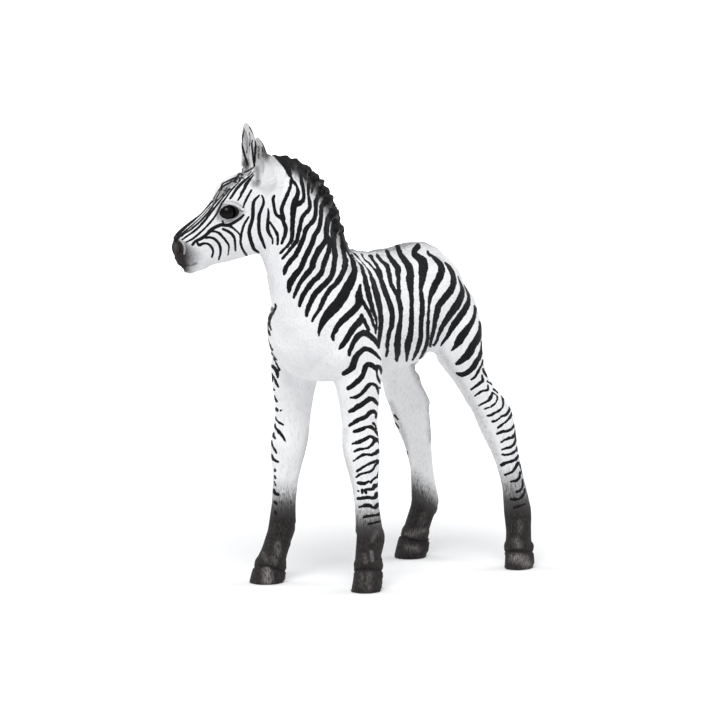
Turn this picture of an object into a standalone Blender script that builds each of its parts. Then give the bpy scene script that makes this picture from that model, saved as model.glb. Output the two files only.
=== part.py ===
"""Zebra foal figure: a hand-painted moulded toy foal that stands on four splayed legs.

Metres, +Z up. The foal faces -Y, its left side is +X, and its head is turned to its right.
The figure is drawn first as one smooth form, made of lofted volumes and muscle swellings.
Each moulded piece is then that form inside the piece's own space, less the joint gap, so that
the pieces meet at flat glue faces. A round peg on each piece seats in a socket of its neighbour.
"""

import math

import bpy
import bmesh
from mathutils import Matrix, Vector

# Trunk
trunk_length = 0.0500
trunk_width = 0.0206
trunk_depth = 0.0246
trunk_axis_height = 0.0518
chest_ahead_share = 0.6

# Neck, from its root in the trunk to the poll
neck_length = 0.0260
neck_lean = 0.0085
neck_bend = 0.0022
neck_width = 0.0100
neck_depth = 0.0172

# Head, which points down its own axis from the poll to the lips
head_length = 0.0219
head_depth = 0.0140
head_width = 0.0098
head_turn = math.radians(47.0)
head_pitch = math.radians(39.3)
poll_ahead_share = 0.082

# Mane
mane_width = 0.0032
mane_height = 0.0030
mane_tuft_size = 0.0011
mane_tufts = 12

# Ears
ear_length = 0.0092
ear_width = 0.0054
ear_depth = 0.0038

# Eyes
eye_radius = 0.0017

# Legs
foreleg_width = 0.0080
foreleg_depth = 0.0104
hindleg_width = 0.0092
hindleg_depth = 0.0124
stance_width = 0.0220
stance_length = 0.0430
toe_reach = 0.0023
fore_toe_turn = math.radians(25.0)
hind_toe_turn = math.radians(20.0)

# Tail
tail_length = 0.0205
tail_width = 0.0042

# Joints between the pieces
joint_gap = 0.0003
leg_joint_rise = math.radians(42.0)
neck_joint_lean = math.radians(35.0)
head_joint_lean = math.radians(11.3)
peg_length = 0.0040
peg_root_length = 0.0020
leg_peg_radius = 0.0016
neck_peg_radius = 0.0028
head_peg_radius = 0.0018

# Surface of the form
form_grain = 0.00050
form_smoothing = 15
form_detail_share = 0.085
ring_sides = 20
peg_sides = 20
eye_sides = 20
eye_bands = 12

# Where the neck starts in the trunk, then where the tail leaves it: along and rise
neck_root_shares = (0.17, 0.04)
dock_shares = (0.916, 0.154)

# The leg joints: how far out from the middle they start, then how far under the trunk's axis they
# are and how far past the leg's middle they reach along the trunk, in trunk and leg depths
leg_joint_inset_share = 0.155
foreleg_joint_shares = (0.5, 0.645)
hindleg_joint_shares = (0.378, -0.61)

# The neck joint up the neck, and the head joint behind the poll along the head
neck_joint_share = 0.254
head_joint_share = 0.15

# The head's peg under the joint's point and to its right, in head depths and widths
head_peg_shares = (0.14, 0.12)

# How much the back narrows towards the spine
back_roof_share = 0.16

# Trunk sections: along from the chest, above and below the axis, half width
trunk_shares = (
    (0, 0.07, 0.235, 0.35),
    (0.03, 0.19, 0.35, 0.6),
    (0.08, 0.315, 0.44, 0.795),
    (0.16, 0.415, 0.49, 0.915),
    (0.26, 0.48, 0.51, 0.94),
    (0.36, 0.5, 0.51, 0.94),
    (0.48, 0.465, 0.49, 0.95),
    (0.6, 0.46, 0.48, 1),
    (0.7, 0.49, 0.43, 0.99),
    (0.8, 0.47, 0.36, 0.915),
    (0.88, 0.37, 0.275, 0.785),
    (0.935, 0.235, 0.195, 0.61),
    (0.98, 0.08, 0.09, 0.35),
)

# Neck sections: along, lean, bend, half depth, half width
neck_shares = (
    (-0.28, -0.3, 0, 1.115, 1.68),
    (0, 0, 0, 1.095, 1.44),
    (0.22, 0.22, 0.04, 1.035, 1.16),
    (0.45, 0.46, 0.15, 0.955, 1),
    (0.68, 0.7, 0.4, 0.885, 0.92),
    (0.88, 0.9, 0.72, 0.765, 0.86),
    (1, 1, 1, 0.605, 0.76),
    (1.1, 1.08, 1.2, 0.395, 0.56),
)

# Head sections: along from the poll, above and below the axis, half width
head_shares = (
    (-0.1, 0.185, 0.245, 0.57),
    (0.03, 0.28, 0.355, 0.815),
    (0.15, 0.32, 0.465, 0.92),
    (0.25, 0.335, 0.595, 0.98),
    (0.34, 0.33, 0.685, 1),
    (0.43, 0.295, 0.72, 0.98),
    (0.52, 0.255, 0.665, 0.88),
    (0.62, 0.23, 0.6, 0.735),
    (0.7, 0.23, 0.545, 0.635),
    (0.78, 0.23, 0.48, 0.58),
    (0.86, 0.23, 0.42, 0.58),
    (0.92, 0.215, 0.395, 0.61),
    (0.965, 0.18, 0.365, 0.59),
    (1.01, 0.115, 0.315, 0.51),
    (1.04, 0.03, 0.22, 0.345),
)

# Leg sections: height, half width, half depth, reach towards the toe
foreleg_shares = (
    (1.025, 1, 1.04, 0),
    (0.89, 1.075, 1.115, 0),
    (0.81, 1.05, 1.06, 0),
    (0.76, 0.975, 0.96, 0),
    (0.695, 0.84, 0.825, 0),
    (0.62, 0.79, 0.71, 0),
    (0.57, 0.84, 0.7, 0),
    (0.53, 0.875, 0.72, 0),
    (0.485, 0.825, 0.675, 0),
    (0.435, 0.69, 0.585, 0),
    (0.375, 0.575, 0.5, 0),
    (0.3, 0.55, 0.48, 0),
    (0.24, 0.59, 0.53, 0),
    (0.195, 0.65, 0.585, -0.05),
    (0.155, 0.625, 0.565, 0.2),
    (0.12, 0.61, 0.54, 0.48),
    (0.085, 0.7, 0.575, 0.74),
    (0.07, 0.725, 0.595, 0.82),
    (0.035, 0.76, 0.635, 0.92),
    (-0.01, 0.8, 0.675, 1.04),
)
hindleg_shares = (
    (1.04, 1, 1.21, 0),
    (0.925, 1.065, 1.195, 0),
    (0.83, 0.98, 0.905, 0),
    (0.79, 0.89, 0.775, 0),
    (0.755, 0.805, 0.675, 0),
    (0.715, 0.695, 0.63, 0),
    (0.675, 0.65, 0.66, 0),
    (0.635, 0.675, 0.74, 0),
    (0.595, 0.695, 0.725, 0),
    (0.555, 0.695, 0.675, 0),
    (0.515, 0.65, 0.63, 0),
    (0.48, 0.585, 0.565, 0),
    (0.44, 0.52, 0.49, 0),
    (0.4, 0.48, 0.45, 0),
    (0.345, 0.445, 0.42, 0),
    (0.3, 0.445, 0.435, 0),
    (0.25, 0.48, 0.475, 0),
    (0.21, 0.51, 0.51, -0.05),
    (0.175, 0.52, 0.485, 0.15),
    (0.135, 0.51, 0.445, 0.42),
    (0.1, 0.535, 0.45, 0.66),
    (0.075, 0.6, 0.49, 0.82),
    (0.035, 0.63, 0.515, 0.92),
    (-0.01, 0.665, 0.55, 1.04),
)

# The course of each leg's middle: height, back along the stance, out across the stance
leg_course_shares = {
    "foreleg_left": (
        (1.04, -0.415, 0.51),
        (0.89, -0.405, 0.58),
        (0.77, -0.4, 0.635),
        (0.63, -0.4, 0.665),
        (0.52, -0.395, 0.68),
        (0.335, -0.37, 0.72),
        (0.21, -0.355, 0.735),
        (0, -0.345, 0.7),
    ),
    "foreleg_right": (
        (1.04, -0.445, -0.51),
        (0.89, -0.45, -0.6),
        (0.77, -0.455, -0.665),
        (0.6, -0.445, -0.755),
        (0.52, -0.46, -0.79),
        (0.38, -0.46, -0.875),
        (0.23, -0.46, -0.945),
        (0, -0.485, -0.975),
    ),
    "hindleg_left": (
        (1.04, 0.235, 0.42),
        (0.925, 0.24, 0.49),
        (0.83, 0.255, 0.59),
        (0.755, 0.3, 0.635),
        (0.675, 0.37, 0.69),
        (0.6, 0.445, 0.745),
        (0.52, 0.475, 0.79),
        (0.4, 0.52, 0.865),
        (0.29, 0.55, 0.935),
        (0.21, 0.555, 0.98),
        (0.115, 0.57, 1.02),
        (0, 0.57, 1.055),
    ),
    "hindleg_right": (
        (1.04, 0.225, -0.42),
        (0.925, 0.205, -0.48),
        (0.83, 0.185, -0.545),
        (0.74, 0.195, -0.6),
        (0.655, 0.24, -0.645),
        (0.6, 0.295, -0.68),
        (0.535, 0.325, -0.72),
        (0.455, 0.375, -0.765),
        (0.335, 0.425, -0.835),
        (0.21, 0.465, -0.9),
        (0.115, 0.455, -0.925),
        (0, 0.45, -0.955),
    ),
}

# The mane's outer edge: rise up the neck, back across the neck, bend
mane_edge_shares = (
    (0.43, 0.58, 0.0),
    (0.48, 0.54, 0.0),
    (0.605, 0.465, 0.0),
    (0.74, 0.39, 0.0),
    (0.87, 0.295, 0.1),
    (0.985, 0.17, 0.25),
    (1.085, 0.0, 0.4),
    (1.15, -0.19, 0.6),
    (1.175, -0.4, 0.8),
    (1.185, -0.6, 1.1),
)

# Muscles of the body: out, back, rise, then radii across, along and up, as shares of the trunk
body_swelling_shares = (
    (0.50, 0.27, 0.08, 0.47, 0.14, 0.32),
    (0.64, 0.185, -0.16, 0.40, 0.11, 0.28),
    (0.34, 0.09, -0.10, 0.38, 0.08, 0.26),
    (0.50, 0.725, 0.06, 0.50, 0.15, 0.33),
    (0.42, 0.86, -0.08, 0.38, 0.085, 0.26),
    (0.58, 0.745, -0.21, 0.36, 0.09, 0.21),
)

# Head features: along, rise, out, then radii along, up and across, as shares of the head
head_swelling_shares = (
    (0.40, -0.37, 0.53, 0.19, 0.33, 0.53),
    (0.41, 0.06, 0.66, 0.11, 0.14, 0.34),
    (0.955, 0.06, 0.36, 0.078, 0.12, 0.31),
    (1.0, -0.205, 0.16, 0.08, 0.12, 0.33),
    (-0.02, 0.16, 0.48, 0.15, 0.20, 0.42),
)
forelock_shares = (0.30, 0.30, 0.13, 0.085, 0.34)

# Ear sections: along, half width, half depth
ear_shares = (
    (-0.14, 0.80, 0.86),
    (0.0, 1.0, 1.0),
    (0.18, 0.92, 0.96),
    (0.4, 0.72, 0.82),
    (0.62, 0.58, 0.66),
    (0.82, 0.42, 0.46),
    (0.94, 0.23, 0.27),
    (1.0, 0.08, 0.10),
)

# Ear places: along, rise and out on the head, then the ear's axis ahead, up and out, then the
# opening's turn from ahead to the left, as a share of a half turn
ear_place_shares = {
    "ear_left": (0.02, 0.05, 0.64, 0.09, 0.90, 0.36, 0.36),
    "ear_right": (0.05, 0.20, -0.62, 0.14, 0.95, -0.06, 0.20),
}

# Ear hollow: along, half width
ear_scoop_shares = (
    (0.12, 0.22),
    (0.26, 0.46),
    (0.42, 0.54),
    (0.62, 0.48),
    (0.76, 0.3),
    (0.86, 0.12),
)

# Ear hollow's depth behind the leaf's front edge, as a share of the leaf's depth
ear_scoop_depth_share = 0.62

# Mane tufts: across, outwards and along their size, then how far they sit under the edge
mane_tuft_shares = (0.7, 1.3, 1.0, 0.8)

# Mane space beside and above the mane's edge
mane_space_shares = (0.62, 1.0)

# Eye place: along, rise and out on the head
eye_place_shares = (0.43, 0.02, 0.76)

# Tail sections: down, back, half width, half depth
tail_shares = (
    (0.06, -0.12, 0.62, 0.52),
    (0.0, 0.0, 0.68, 0.56),
    (0.0, 0.09, 0.72, 0.58),
    (0.05, 0.165, 0.77, 0.6),
    (0.14, 0.205, 0.83, 0.62),
    (0.32, 0.225, 0.92, 0.64),
    (0.55, 0.235, 1.0, 0.66),
    (0.77, 0.245, 0.95, 0.62),
    (0.92, 0.25, 0.68, 0.48),
    (1.0, 0.25, 0.26, 0.24),
)

# Every cut's block reaches past the whole figure
cut_reach = trunk_length + trunk_axis_height

upward = Vector((0, 0, 1))
leftward = Vector((1, 0, 0))
backward = Vector((0, 1, 0))


def clear_scene():
    for item in list(bpy.data.objects):
        bpy.data.objects.remove(item, do_unlink=True)


def make_material(name, colour, roughness):
    material = bpy.data.materials.new(name)
    material.use_nodes = True
    shader = material.node_tree.nodes["Principled BSDF"]
    shader.inputs["Base Color"].default_value = (*colour, 1.0)
    shader.inputs["Roughness"].default_value = roughness
    shader.inputs["Metallic"].default_value = 0.0
    material.diffuse_color = (*colour, 1.0)
    return material


def make_object(name, mesh, material=None):
    item = bpy.data.objects.new(name, mesh)
    bpy.context.scene.collection.objects.link(item)
    if material:
        mesh.materials.append(material)
    return item


def hide_helper(item):
    item.hide_render = True
    item.display_type = "WIRE"
    return item


def mesh_from(shape, name):
    bmesh.ops.recalc_face_normals(shape, faces=shape.faces)
    mesh = bpy.data.meshes.new(name)
    shape.to_mesh(mesh)
    shape.free()
    return mesh


def oval_ring(centre, across, up, half_width, above, below, roof=0):
    """Points of an egg-shaped section, which a roof share above zero narrows towards its top."""
    points = []
    for step in range(ring_sides):
        angle = 2 * math.pi * step / ring_sides
        rise = math.sin(angle)
        height = above if rise > 0 else below
        width = half_width * (1 - roof * max(rise, 0))
        points.append(centre + across * (width * math.cos(angle)) + up * (height * rise))
    return points


def add_loft(shape, rings):
    """Skin a row of rings, all with the same number of points, and close both ends."""
    rows = []
    for ring in rings:
        rows.append([shape.verts.new(point) for point in ring])
    for first, second in zip(rows, rows[1:]):
        for step in range(len(first)):
            after = (step + 1) % len(first)
            shape.faces.new((first[step], first[after], second[after], second[step]))
    shape.faces.new(rows[0])
    shape.faces.new(rows[-1])


def add_swelling(shape, centre, axes, radii):
    """A muscle or a pad: an egg with its three radii along the given axes."""
    frame = Matrix((axes[0] * radii[0], axes[1] * radii[1], axes[2] * radii[2])).transposed()
    place = Matrix.Translation(centre) @ frame.to_4x4()
    bmesh.ops.create_icosphere(shape, subdivisions=3, radius=1, matrix=place)


def blend(rows, height, column):
    """Read a column of a table of courses at a height, which falls from row to row."""
    for upper, lower in zip(rows, rows[1:]):
        if height >= lower[0]:
            share = (height - lower[0]) / (upper[0] - lower[0])
            return lower[column] + (upper[column] - lower[column]) * share
    return rows[-1][column]


def trunk_point(along, out, rise):
    """A point in the trunk from shares of its length, half width and depth."""
    return Vector((
        out * trunk_width / 2,
        (along - chest_ahead_share) * trunk_length,
        trunk_axis_height + rise * trunk_depth,
    ))


def trunk_rings():
    rings = []
    for along, above, below, half_width in trunk_shares:
        centre = trunk_point(along, 0, 0)
        sizes = (half_width * trunk_width / 2, above * trunk_depth, below * trunk_depth)
        rings.append(oval_ring(centre, leftward, upward, *sizes, back_roof_share))
    return rings


neck_root = trunk_point(neck_root_shares[0], 0, neck_root_shares[1])


def neck_point(along, lean, bend):
    """A point on the neck's middle line from shares of its length, lean and bend."""
    return neck_root + Vector((-bend * neck_bend, -lean * neck_lean, along * neck_length))


def neck_rings():
    rings = []
    centres = [neck_point(row[0], row[1], row[2]) for row in neck_shares]
    for place, (along, lean, bend, half_depth, half_width) in enumerate(neck_shares):
        before = centres[max(place - 1, 0)]
        after = centres[min(place + 1, len(centres) - 1)]
        course = (after - before).normalized()
        turn = Matrix.Rotation(-head_turn * min(bend, 1), 3, "Z")
        across = turn @ leftward
        across = (across - course * across.dot(course)).normalized()
        ahead = across.cross(course)
        depth = half_depth * neck_depth / 2
        rings.append(
            oval_ring(centres[place], across, ahead, half_width * neck_width / 2, depth, depth)
        )
    return rings


# The head's own axes: level ahead, out to its left, down the nose, and up from the forehead
head_ahead = Vector((-math.sin(head_turn), -math.cos(head_turn), 0))
head_out = Vector((math.cos(head_turn), -math.sin(head_turn), 0))
head_axis = head_ahead * math.cos(head_pitch) - upward * math.sin(head_pitch)
head_up = head_ahead * math.sin(head_pitch) + upward * math.cos(head_pitch)
poll = neck_point(1, 1, 1) + head_ahead * (poll_ahead_share * head_length)


def head_point(along, rise, out):
    """A point in the head from shares of its length, depth and half width."""
    return (
        poll
        + head_axis * (along * head_length)
        + head_up * (rise * head_depth)
        + head_out * (out * head_width / 2)
    )


def head_rings():
    rings = []
    for along, above, below, half_width in head_shares:
        sizes = (half_width * head_width / 2, above * head_depth, below * head_depth)
        rings.append(oval_ring(head_point(along, 0, 0), head_out, head_up, *sizes))
    return rings


def leg_side(name):
    return 1 if name.endswith("left") else -1


def leg_rings(name):
    """Level sections from the leg's root in the trunk to just under the floor."""
    fore = name.startswith("foreleg")
    side = leg_side(name)
    sections = foreleg_shares if fore else hindleg_shares
    width = foreleg_width if fore else hindleg_width
    depth = foreleg_depth if fore else hindleg_depth
    toe_turn = fore_toe_turn if fore else hind_toe_turn
    toe = Vector((side * math.sin(toe_turn), -math.cos(toe_turn), 0))
    course = leg_course_shares[name]
    rings = []
    for height, half_width, half_depth, reach in sections:
        turn = Matrix.Rotation(side * toe_turn * min(max(reach, 0), 1), 3, "Z")
        centre = Vector((
            blend(course, height, 2) * stance_width / 2,
            blend(course, height, 1) * stance_length,
            height * trunk_axis_height,
        ))
        centre += toe * (reach * toe_reach)
        across = turn @ leftward
        along = turn @ backward
        half = half_depth * depth / 2
        rings.append(oval_ring(centre, across, along, half_width * width / 2, half, half))
    return rings


def mane_rows():
    """Edge points of the mane with the outward and sideways directions at each."""
    edge = []
    for rise, back, bend in mane_edge_shares:
        edge.append(neck_root + Vector((-bend * neck_bend, back * neck_depth, rise * neck_length)))
    rows = []
    for place, point in enumerate(edge):
        before = edge[max(place - 1, 0)]
        after = edge[min(place + 1, len(edge) - 1)]
        course = (after - before).normalized()
        bend = mane_edge_shares[place][2]
        across = Matrix.Rotation(-head_turn * min(bend, 1), 3, "Z") @ leftward
        across = (across - course * across.dot(course)).normalized()
        rows.append((point, course.cross(across), across))
    return rows


def mane_ridge_rings():
    rings = []
    for point, outward, across in mane_rows():
        centre = point - outward * mane_height
        half = mane_width / 2
        rings.append(oval_ring(centre, across, outward, half, mane_height, mane_height))
    return rings


def add_mane_tufts(shape):
    """Short tufts of hair that break the mane's outer edge."""
    rows = mane_rows()
    wide, high, long, sunk = [share * mane_tuft_size for share in mane_tuft_shares]
    for step in range(mane_tufts):
        place = (step + 0.5) / mane_tufts * (len(rows) - 1)
        low = int(place)
        share = place - low
        point = rows[low][0].lerp(rows[low + 1][0], share)
        outward = rows[low][1].lerp(rows[low + 1][1], share).normalized()
        across = rows[low][2].lerp(rows[low + 1][2], share).normalized()
        axes = (across, outward, across.cross(outward))
        add_swelling(shape, point - outward * sunk, axes, (wide, high, long))


def add_muscles(shape):
    for side in (-1, 1):
        for out, back, rise, across, along, up in body_swelling_shares:
            radii = (across * trunk_width / 2, along * trunk_length, up * trunk_depth)
            centre = trunk_point(back, side * out, rise)
            add_swelling(shape, centre, (leftward, backward, upward), radii)


def add_head_features(shape):
    """Cheeks, brows, nostril and lip pads on both sides, ear roots and the forelock."""
    features = [(*forelock_shares[:2], 0, *forelock_shares[2:])]
    for side in (-1, 1):
        for along, rise, out, length, height, width in head_swelling_shares:
            features.append((along, rise, side * out, length, height, width))
    for along, rise, out, length, height, width in features:
        radii = (length * head_length, height * head_depth, width * head_width / 2)
        add_swelling(shape, head_point(along, rise, out), (head_axis, head_up, head_out), radii)


def make_form():
    """The whole foal as one smooth closed surface, without its ears, eyes and tail."""
    shape = bmesh.new()
    add_loft(shape, trunk_rings())
    add_loft(shape, neck_rings())
    add_loft(shape, head_rings())
    for name in leg_course_shares:
        add_loft(shape, leg_rings(name))
    add_loft(shape, mane_ridge_rings())
    add_mane_tufts(shape)
    add_muscles(shape)
    add_head_features(shape)
    form = hide_helper(make_object("figure_form", mesh_from(shape, "figure_form")))
    skin = form.modifiers.new("one_skin", "REMESH")
    skin.mode = "VOXEL"
    skin.voxel_size = form_grain
    relax = form.modifiers.new("relax", "SMOOTH")
    relax.iterations = form_smoothing
    fewer = form.modifiers.new("fewer_faces", "DECIMATE")
    fewer.ratio = form_detail_share
    depsgraph = bpy.context.evaluated_depsgraph_get()
    mesh = bpy.data.meshes.new_from_object(form.evaluated_get(depsgraph))
    bpy.data.objects.remove(form)
    return mesh


def make_prism(name, outline, start, end):
    """A block with an outline across the foal, drawn out from start to end along it."""
    shape = bmesh.new()
    rings = []
    for back in (start, end):
        rings.append([Vector((across, back, height)) for across, height in outline])
    add_loft(shape, rings)
    return hide_helper(make_object(name, mesh_from(shape, name)))


def leg_joint(name):
    """The height of a leg's joint under the middle of the foal, the leg's middle there, and the
    joint's end along the trunk."""
    fore = name.startswith("foreleg")
    drop, past = foreleg_joint_shares if fore else hindleg_joint_shares
    height = trunk_axis_height - drop * trunk_depth
    course = leg_course_shares[name]
    share = height / trunk_axis_height
    back = blend(course, share, 1) * stance_length
    out = blend(course, share, 2) * stance_width / 2
    end = back + past * (foreleg_depth if fore else hindleg_depth)
    return height, Vector((out, back, 0)), end


def leg_space(name, grow):
    """The block that holds one leg: it rises outwards from the leg's inner side."""
    side = leg_side(name)
    height, middle, end = leg_joint(name)
    slope = math.tan(leg_joint_rise)
    top = height + grow / math.cos(leg_joint_rise)
    inner = leg_joint_inset_share * trunk_width / 2 - grow
    outline = (
        (side * inner, -cut_reach),
        (side * cut_reach, -cut_reach),
        (side * cut_reach, top + slope * cut_reach),
        (side * inner, top + slope * inner),
    )
    if name.startswith("foreleg"):
        return make_prism(name + "_space", outline, -cut_reach - grow, end + grow)
    return make_prism(name + "_space", outline, end - grow, cut_reach + grow)


def make_block(name, point, normal, grow):
    """A block on the far side of a plane, pushed back over the plane by grow."""
    shape = bmesh.new()
    turn = normal.to_track_quat("Z", "Y").to_matrix().to_4x4()
    place = Matrix.Translation(point + normal * (cut_reach / 2 - grow))
    bmesh.ops.create_cube(shape, size=cut_reach, matrix=place @ turn)
    return hide_helper(make_object(name, mesh_from(shape, name)))


neck_joint_point = neck_root + upward * (neck_joint_share * neck_length)
neck_joint_normal = Vector((0, -math.sin(neck_joint_lean), math.cos(neck_joint_lean)))
head_joint_point = poll - head_ahead * (head_joint_share * head_length)
head_joint_normal = head_ahead * math.cos(head_joint_lean) + upward * math.sin(head_joint_lean)


def mane_space(name, grow):
    """A channel round the mane that follows the crest of the neck."""
    shape = bmesh.new()
    rings = []
    beside, above = mane_space_shares
    for point, outward, across in mane_rows():
        low = point - outward * (mane_height + grow)
        high = point + outward * (above * mane_height)
        side = across * (beside * mane_width + grow)
        rings.append([low - side, low + side, high + side, high - side])
    add_loft(shape, rings)
    return hide_helper(make_object(name, mesh_from(shape, name)))


def make_peg(name, foot, direction, radius, length):
    """A round peg from its foot along a direction."""
    shape = bmesh.new()
    turn = direction.to_track_quat("Z", "Y").to_matrix().to_4x4()
    place = Matrix.Translation(foot + direction * (length / 2))
    bmesh.ops.create_cone(
        shape, cap_ends=True, segments=peg_sides, radius1=radius, radius2=radius,
        depth=length, matrix=place @ turn,
    )
    return hide_helper(make_object(name, mesh_from(shape, name)))


def apply_boolean(item, operation, other):
    """Cut or join with the solver for closed meshes: the exact one can lose a piece of the form."""
    step = item.modifiers.new(operation.lower(), "BOOLEAN")
    step.operation = operation
    step.solver = "MANIFOLD"
    step.object = other


def peg_and_socket(holder, receiver, name, root, direction, radius):
    """Give the holder a peg that stands in a socket of the receiver."""
    foot = root - direction * peg_root_length
    length = peg_root_length + peg_length
    apply_boolean(holder, "UNION", make_peg(name + "_peg", foot, direction, radius, length))
    socket = make_peg(name + "_socket", foot, direction, radius + joint_gap, length + joint_gap)
    apply_boolean(receiver, "DIFFERENCE", socket)


def leg_peg_root(name):
    """The middle of a leg's joint face."""
    height, middle, end = leg_joint(name)
    return middle + upward * (height + abs(middle.x) * math.tan(leg_joint_rise))


def ear_frame(name):
    along, rise, out, ahead, up, aside, turn_share = ear_place_shares[name]
    root = head_point(along, rise, out)
    axis = (head_ahead * ahead + upward * up + head_out * aside).normalized()
    turn = Matrix.Rotation(turn_share * math.pi, 3, axis)
    opening = turn @ head_ahead
    opening = (opening - axis * opening.dot(axis)).normalized()
    return root, axis, opening, axis.cross(opening)


def make_ear_body(name, grow):
    """The ear's leaf with its root, larger all round by grow."""
    root, axis, opening, across = ear_frame(name)
    shape = bmesh.new()
    rings = []
    for along, half_width, half_depth in ear_shares:
        centre = root + axis * (along * ear_length)
        if along < 0:
            centre -= axis * grow
        width = half_width * ear_width / 2 + grow
        depth = half_depth * ear_depth / 2 + grow
        rings.append(oval_ring(centre, across, opening, width, depth, depth))
    add_loft(shape, rings)
    return mesh_from(shape, name)


def make_ear_scoop(name):
    """The hollow of the ear, open to the front."""
    root, axis, opening, across = ear_frame(name)
    depth = ear_scoop_depth_share * ear_depth
    shape = bmesh.new()
    rings = []
    for along, half_width in ear_scoop_shares:
        centre = root + axis * (along * ear_length) + opening * (ear_depth / 2)
        half = half_width * ear_width / 2
        rings.append(oval_ring(centre, across, opening, half, ear_depth, depth))
    add_loft(shape, rings)
    return hide_helper(make_object(name + "_scoop", mesh_from(shape, name + "_scoop")))


def make_tail_body(name, grow):
    shape = bmesh.new()
    dock = trunk_point(dock_shares[0], 0, dock_shares[1])
    centres = []
    for down, back, half_width, half_depth in tail_shares:
        centres.append(dock + (backward * back - upward * down) * tail_length)
    rings = []
    for place, (down, back, half_width, half_depth) in enumerate(tail_shares):
        before = centres[max(place - 1, 0)]
        after = centres[min(place + 1, len(centres) - 1)]
        course = (after - before).normalized()
        out = leftward.cross(course)
        width = half_width * tail_width / 2 + grow
        depth = half_depth * tail_width / 2 + grow
        centre = centres[place]
        if place == 0:
            centre = centre - course * grow
        rings.append(oval_ring(centre, leftward, out, width, depth, depth))
    add_loft(shape, rings)
    return mesh_from(shape, name)


def make_eye_ball(name, side, grow):
    shape = bmesh.new()
    along, rise, out = eye_place_shares
    bmesh.ops.create_uvsphere(
        shape, u_segments=eye_sides, v_segments=eye_bands, radius=eye_radius + grow,
        matrix=Matrix.Translation(head_point(along, rise, side * out)),
    )
    return mesh_from(shape, name)


def split_form(form, coat, mane_paint):
    """Trunk, neck, head and mane, each cut from the form with flat glue faces between them."""
    trunk = make_object("trunk", form.copy(), coat)
    neck = make_object("neck", form.copy(), coat)
    head = make_object("head", form.copy(), coat)
    mane = make_object("mane", form.copy(), mane_paint)
    apply_boolean(mane, "INTERSECT", mane_space("mane_space", 0))
    channel = mane_space("mane_channel", joint_gap)
    neck_cut = make_block("neck_cut", neck_joint_point, neck_joint_normal, joint_gap)
    neck_keep = make_block("neck_keep", neck_joint_point, neck_joint_normal, 0)
    head_cut = make_block("head_cut", head_joint_point, head_joint_normal, joint_gap)
    head_keep = make_block("head_keep", head_joint_point, head_joint_normal, 0)
    apply_boolean(head, "INTERSECT", head_keep)
    apply_boolean(neck, "INTERSECT", neck_keep)
    apply_boolean(trunk, "DIFFERENCE", neck_cut)
    for item in (neck, mane):
        apply_boolean(item, "DIFFERENCE", head_cut)
    for item in (neck, trunk):
        apply_boolean(item, "DIFFERENCE", channel)
    return trunk, neck, head, mane


def add_legs(form, trunk, coat):
    legs = []
    for name in leg_course_shares:
        leg = make_object(name, form.copy(), coat)
        apply_boolean(leg, "INTERSECT", leg_space(name, 0))
        apply_boolean(trunk, "DIFFERENCE", leg_space(name, joint_gap))
        side = leg_side(name)
        inward = Vector((-side * math.sin(leg_joint_rise), 0, math.cos(leg_joint_rise)))
        peg_and_socket(leg, trunk, name, leg_peg_root(name), inward, leg_peg_radius)
        apply_boolean(leg, "DIFFERENCE", make_block(name + "_floor", Vector(), -upward, 0))
        legs.append(leg)
    return legs


def add_ears(receivers, ear_paint):
    ears = []
    for name in ear_place_shares:
        ear = make_object(name, make_ear_body(name, 0), ear_paint)
        apply_boolean(ear, "DIFFERENCE", make_ear_scoop(name))
        pocket = hide_helper(make_object(name + "_pocket", make_ear_body(name, joint_gap)))
        for receiver in receivers:
            apply_boolean(receiver, "DIFFERENCE", pocket)
        ears.append(ear)
    return ears


def add_eyes(head, eye_paint):
    eyes = []
    for name, side in (("eye_left", 1), ("eye_right", -1)):
        eyes.append(make_object(name, make_eye_ball(name, side, 0), eye_paint))
        hole = make_object(name + "_hole", make_eye_ball(name + "_hole", side, joint_gap))
        apply_boolean(head, "DIFFERENCE", hide_helper(hole))
    return eyes


def add_tail(trunk, mane_paint):
    tail = make_object("tail", make_tail_body("tail", 0), mane_paint)
    pocket = hide_helper(make_object("tail_pocket", make_tail_body("tail_pocket", joint_gap)))
    apply_boolean(trunk, "DIFFERENCE", pocket)
    return tail


def shade_pieces(pieces):
    """Round shading everywhere but at the glue faces and the soles."""
    for item in pieces:
        item.data.shade_smooth()
        item.data.set_sharp_from_angle(angle=math.radians(40.0))


def stand_on_origin(pieces):
    """Hold everything on one empty, with the origin on the floor under the figure's middle."""
    depsgraph = bpy.context.evaluated_depsgraph_get()
    corners = []
    for item in pieces:
        mesh = item.evaluated_get(depsgraph).to_mesh()
        corners.extend(corner.co.copy() for corner in mesh.vertices)
    middle = []
    for axis in (0, 1):
        places = [corner[axis] for corner in corners]
        middle.append((min(places) + max(places)) / 2)
    origin = make_object("figure_origin", None)
    origin.location = (-middle[0], -middle[1], 0)
    for item in list(bpy.data.objects):
        if item is not origin:
            item.parent = origin


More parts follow.
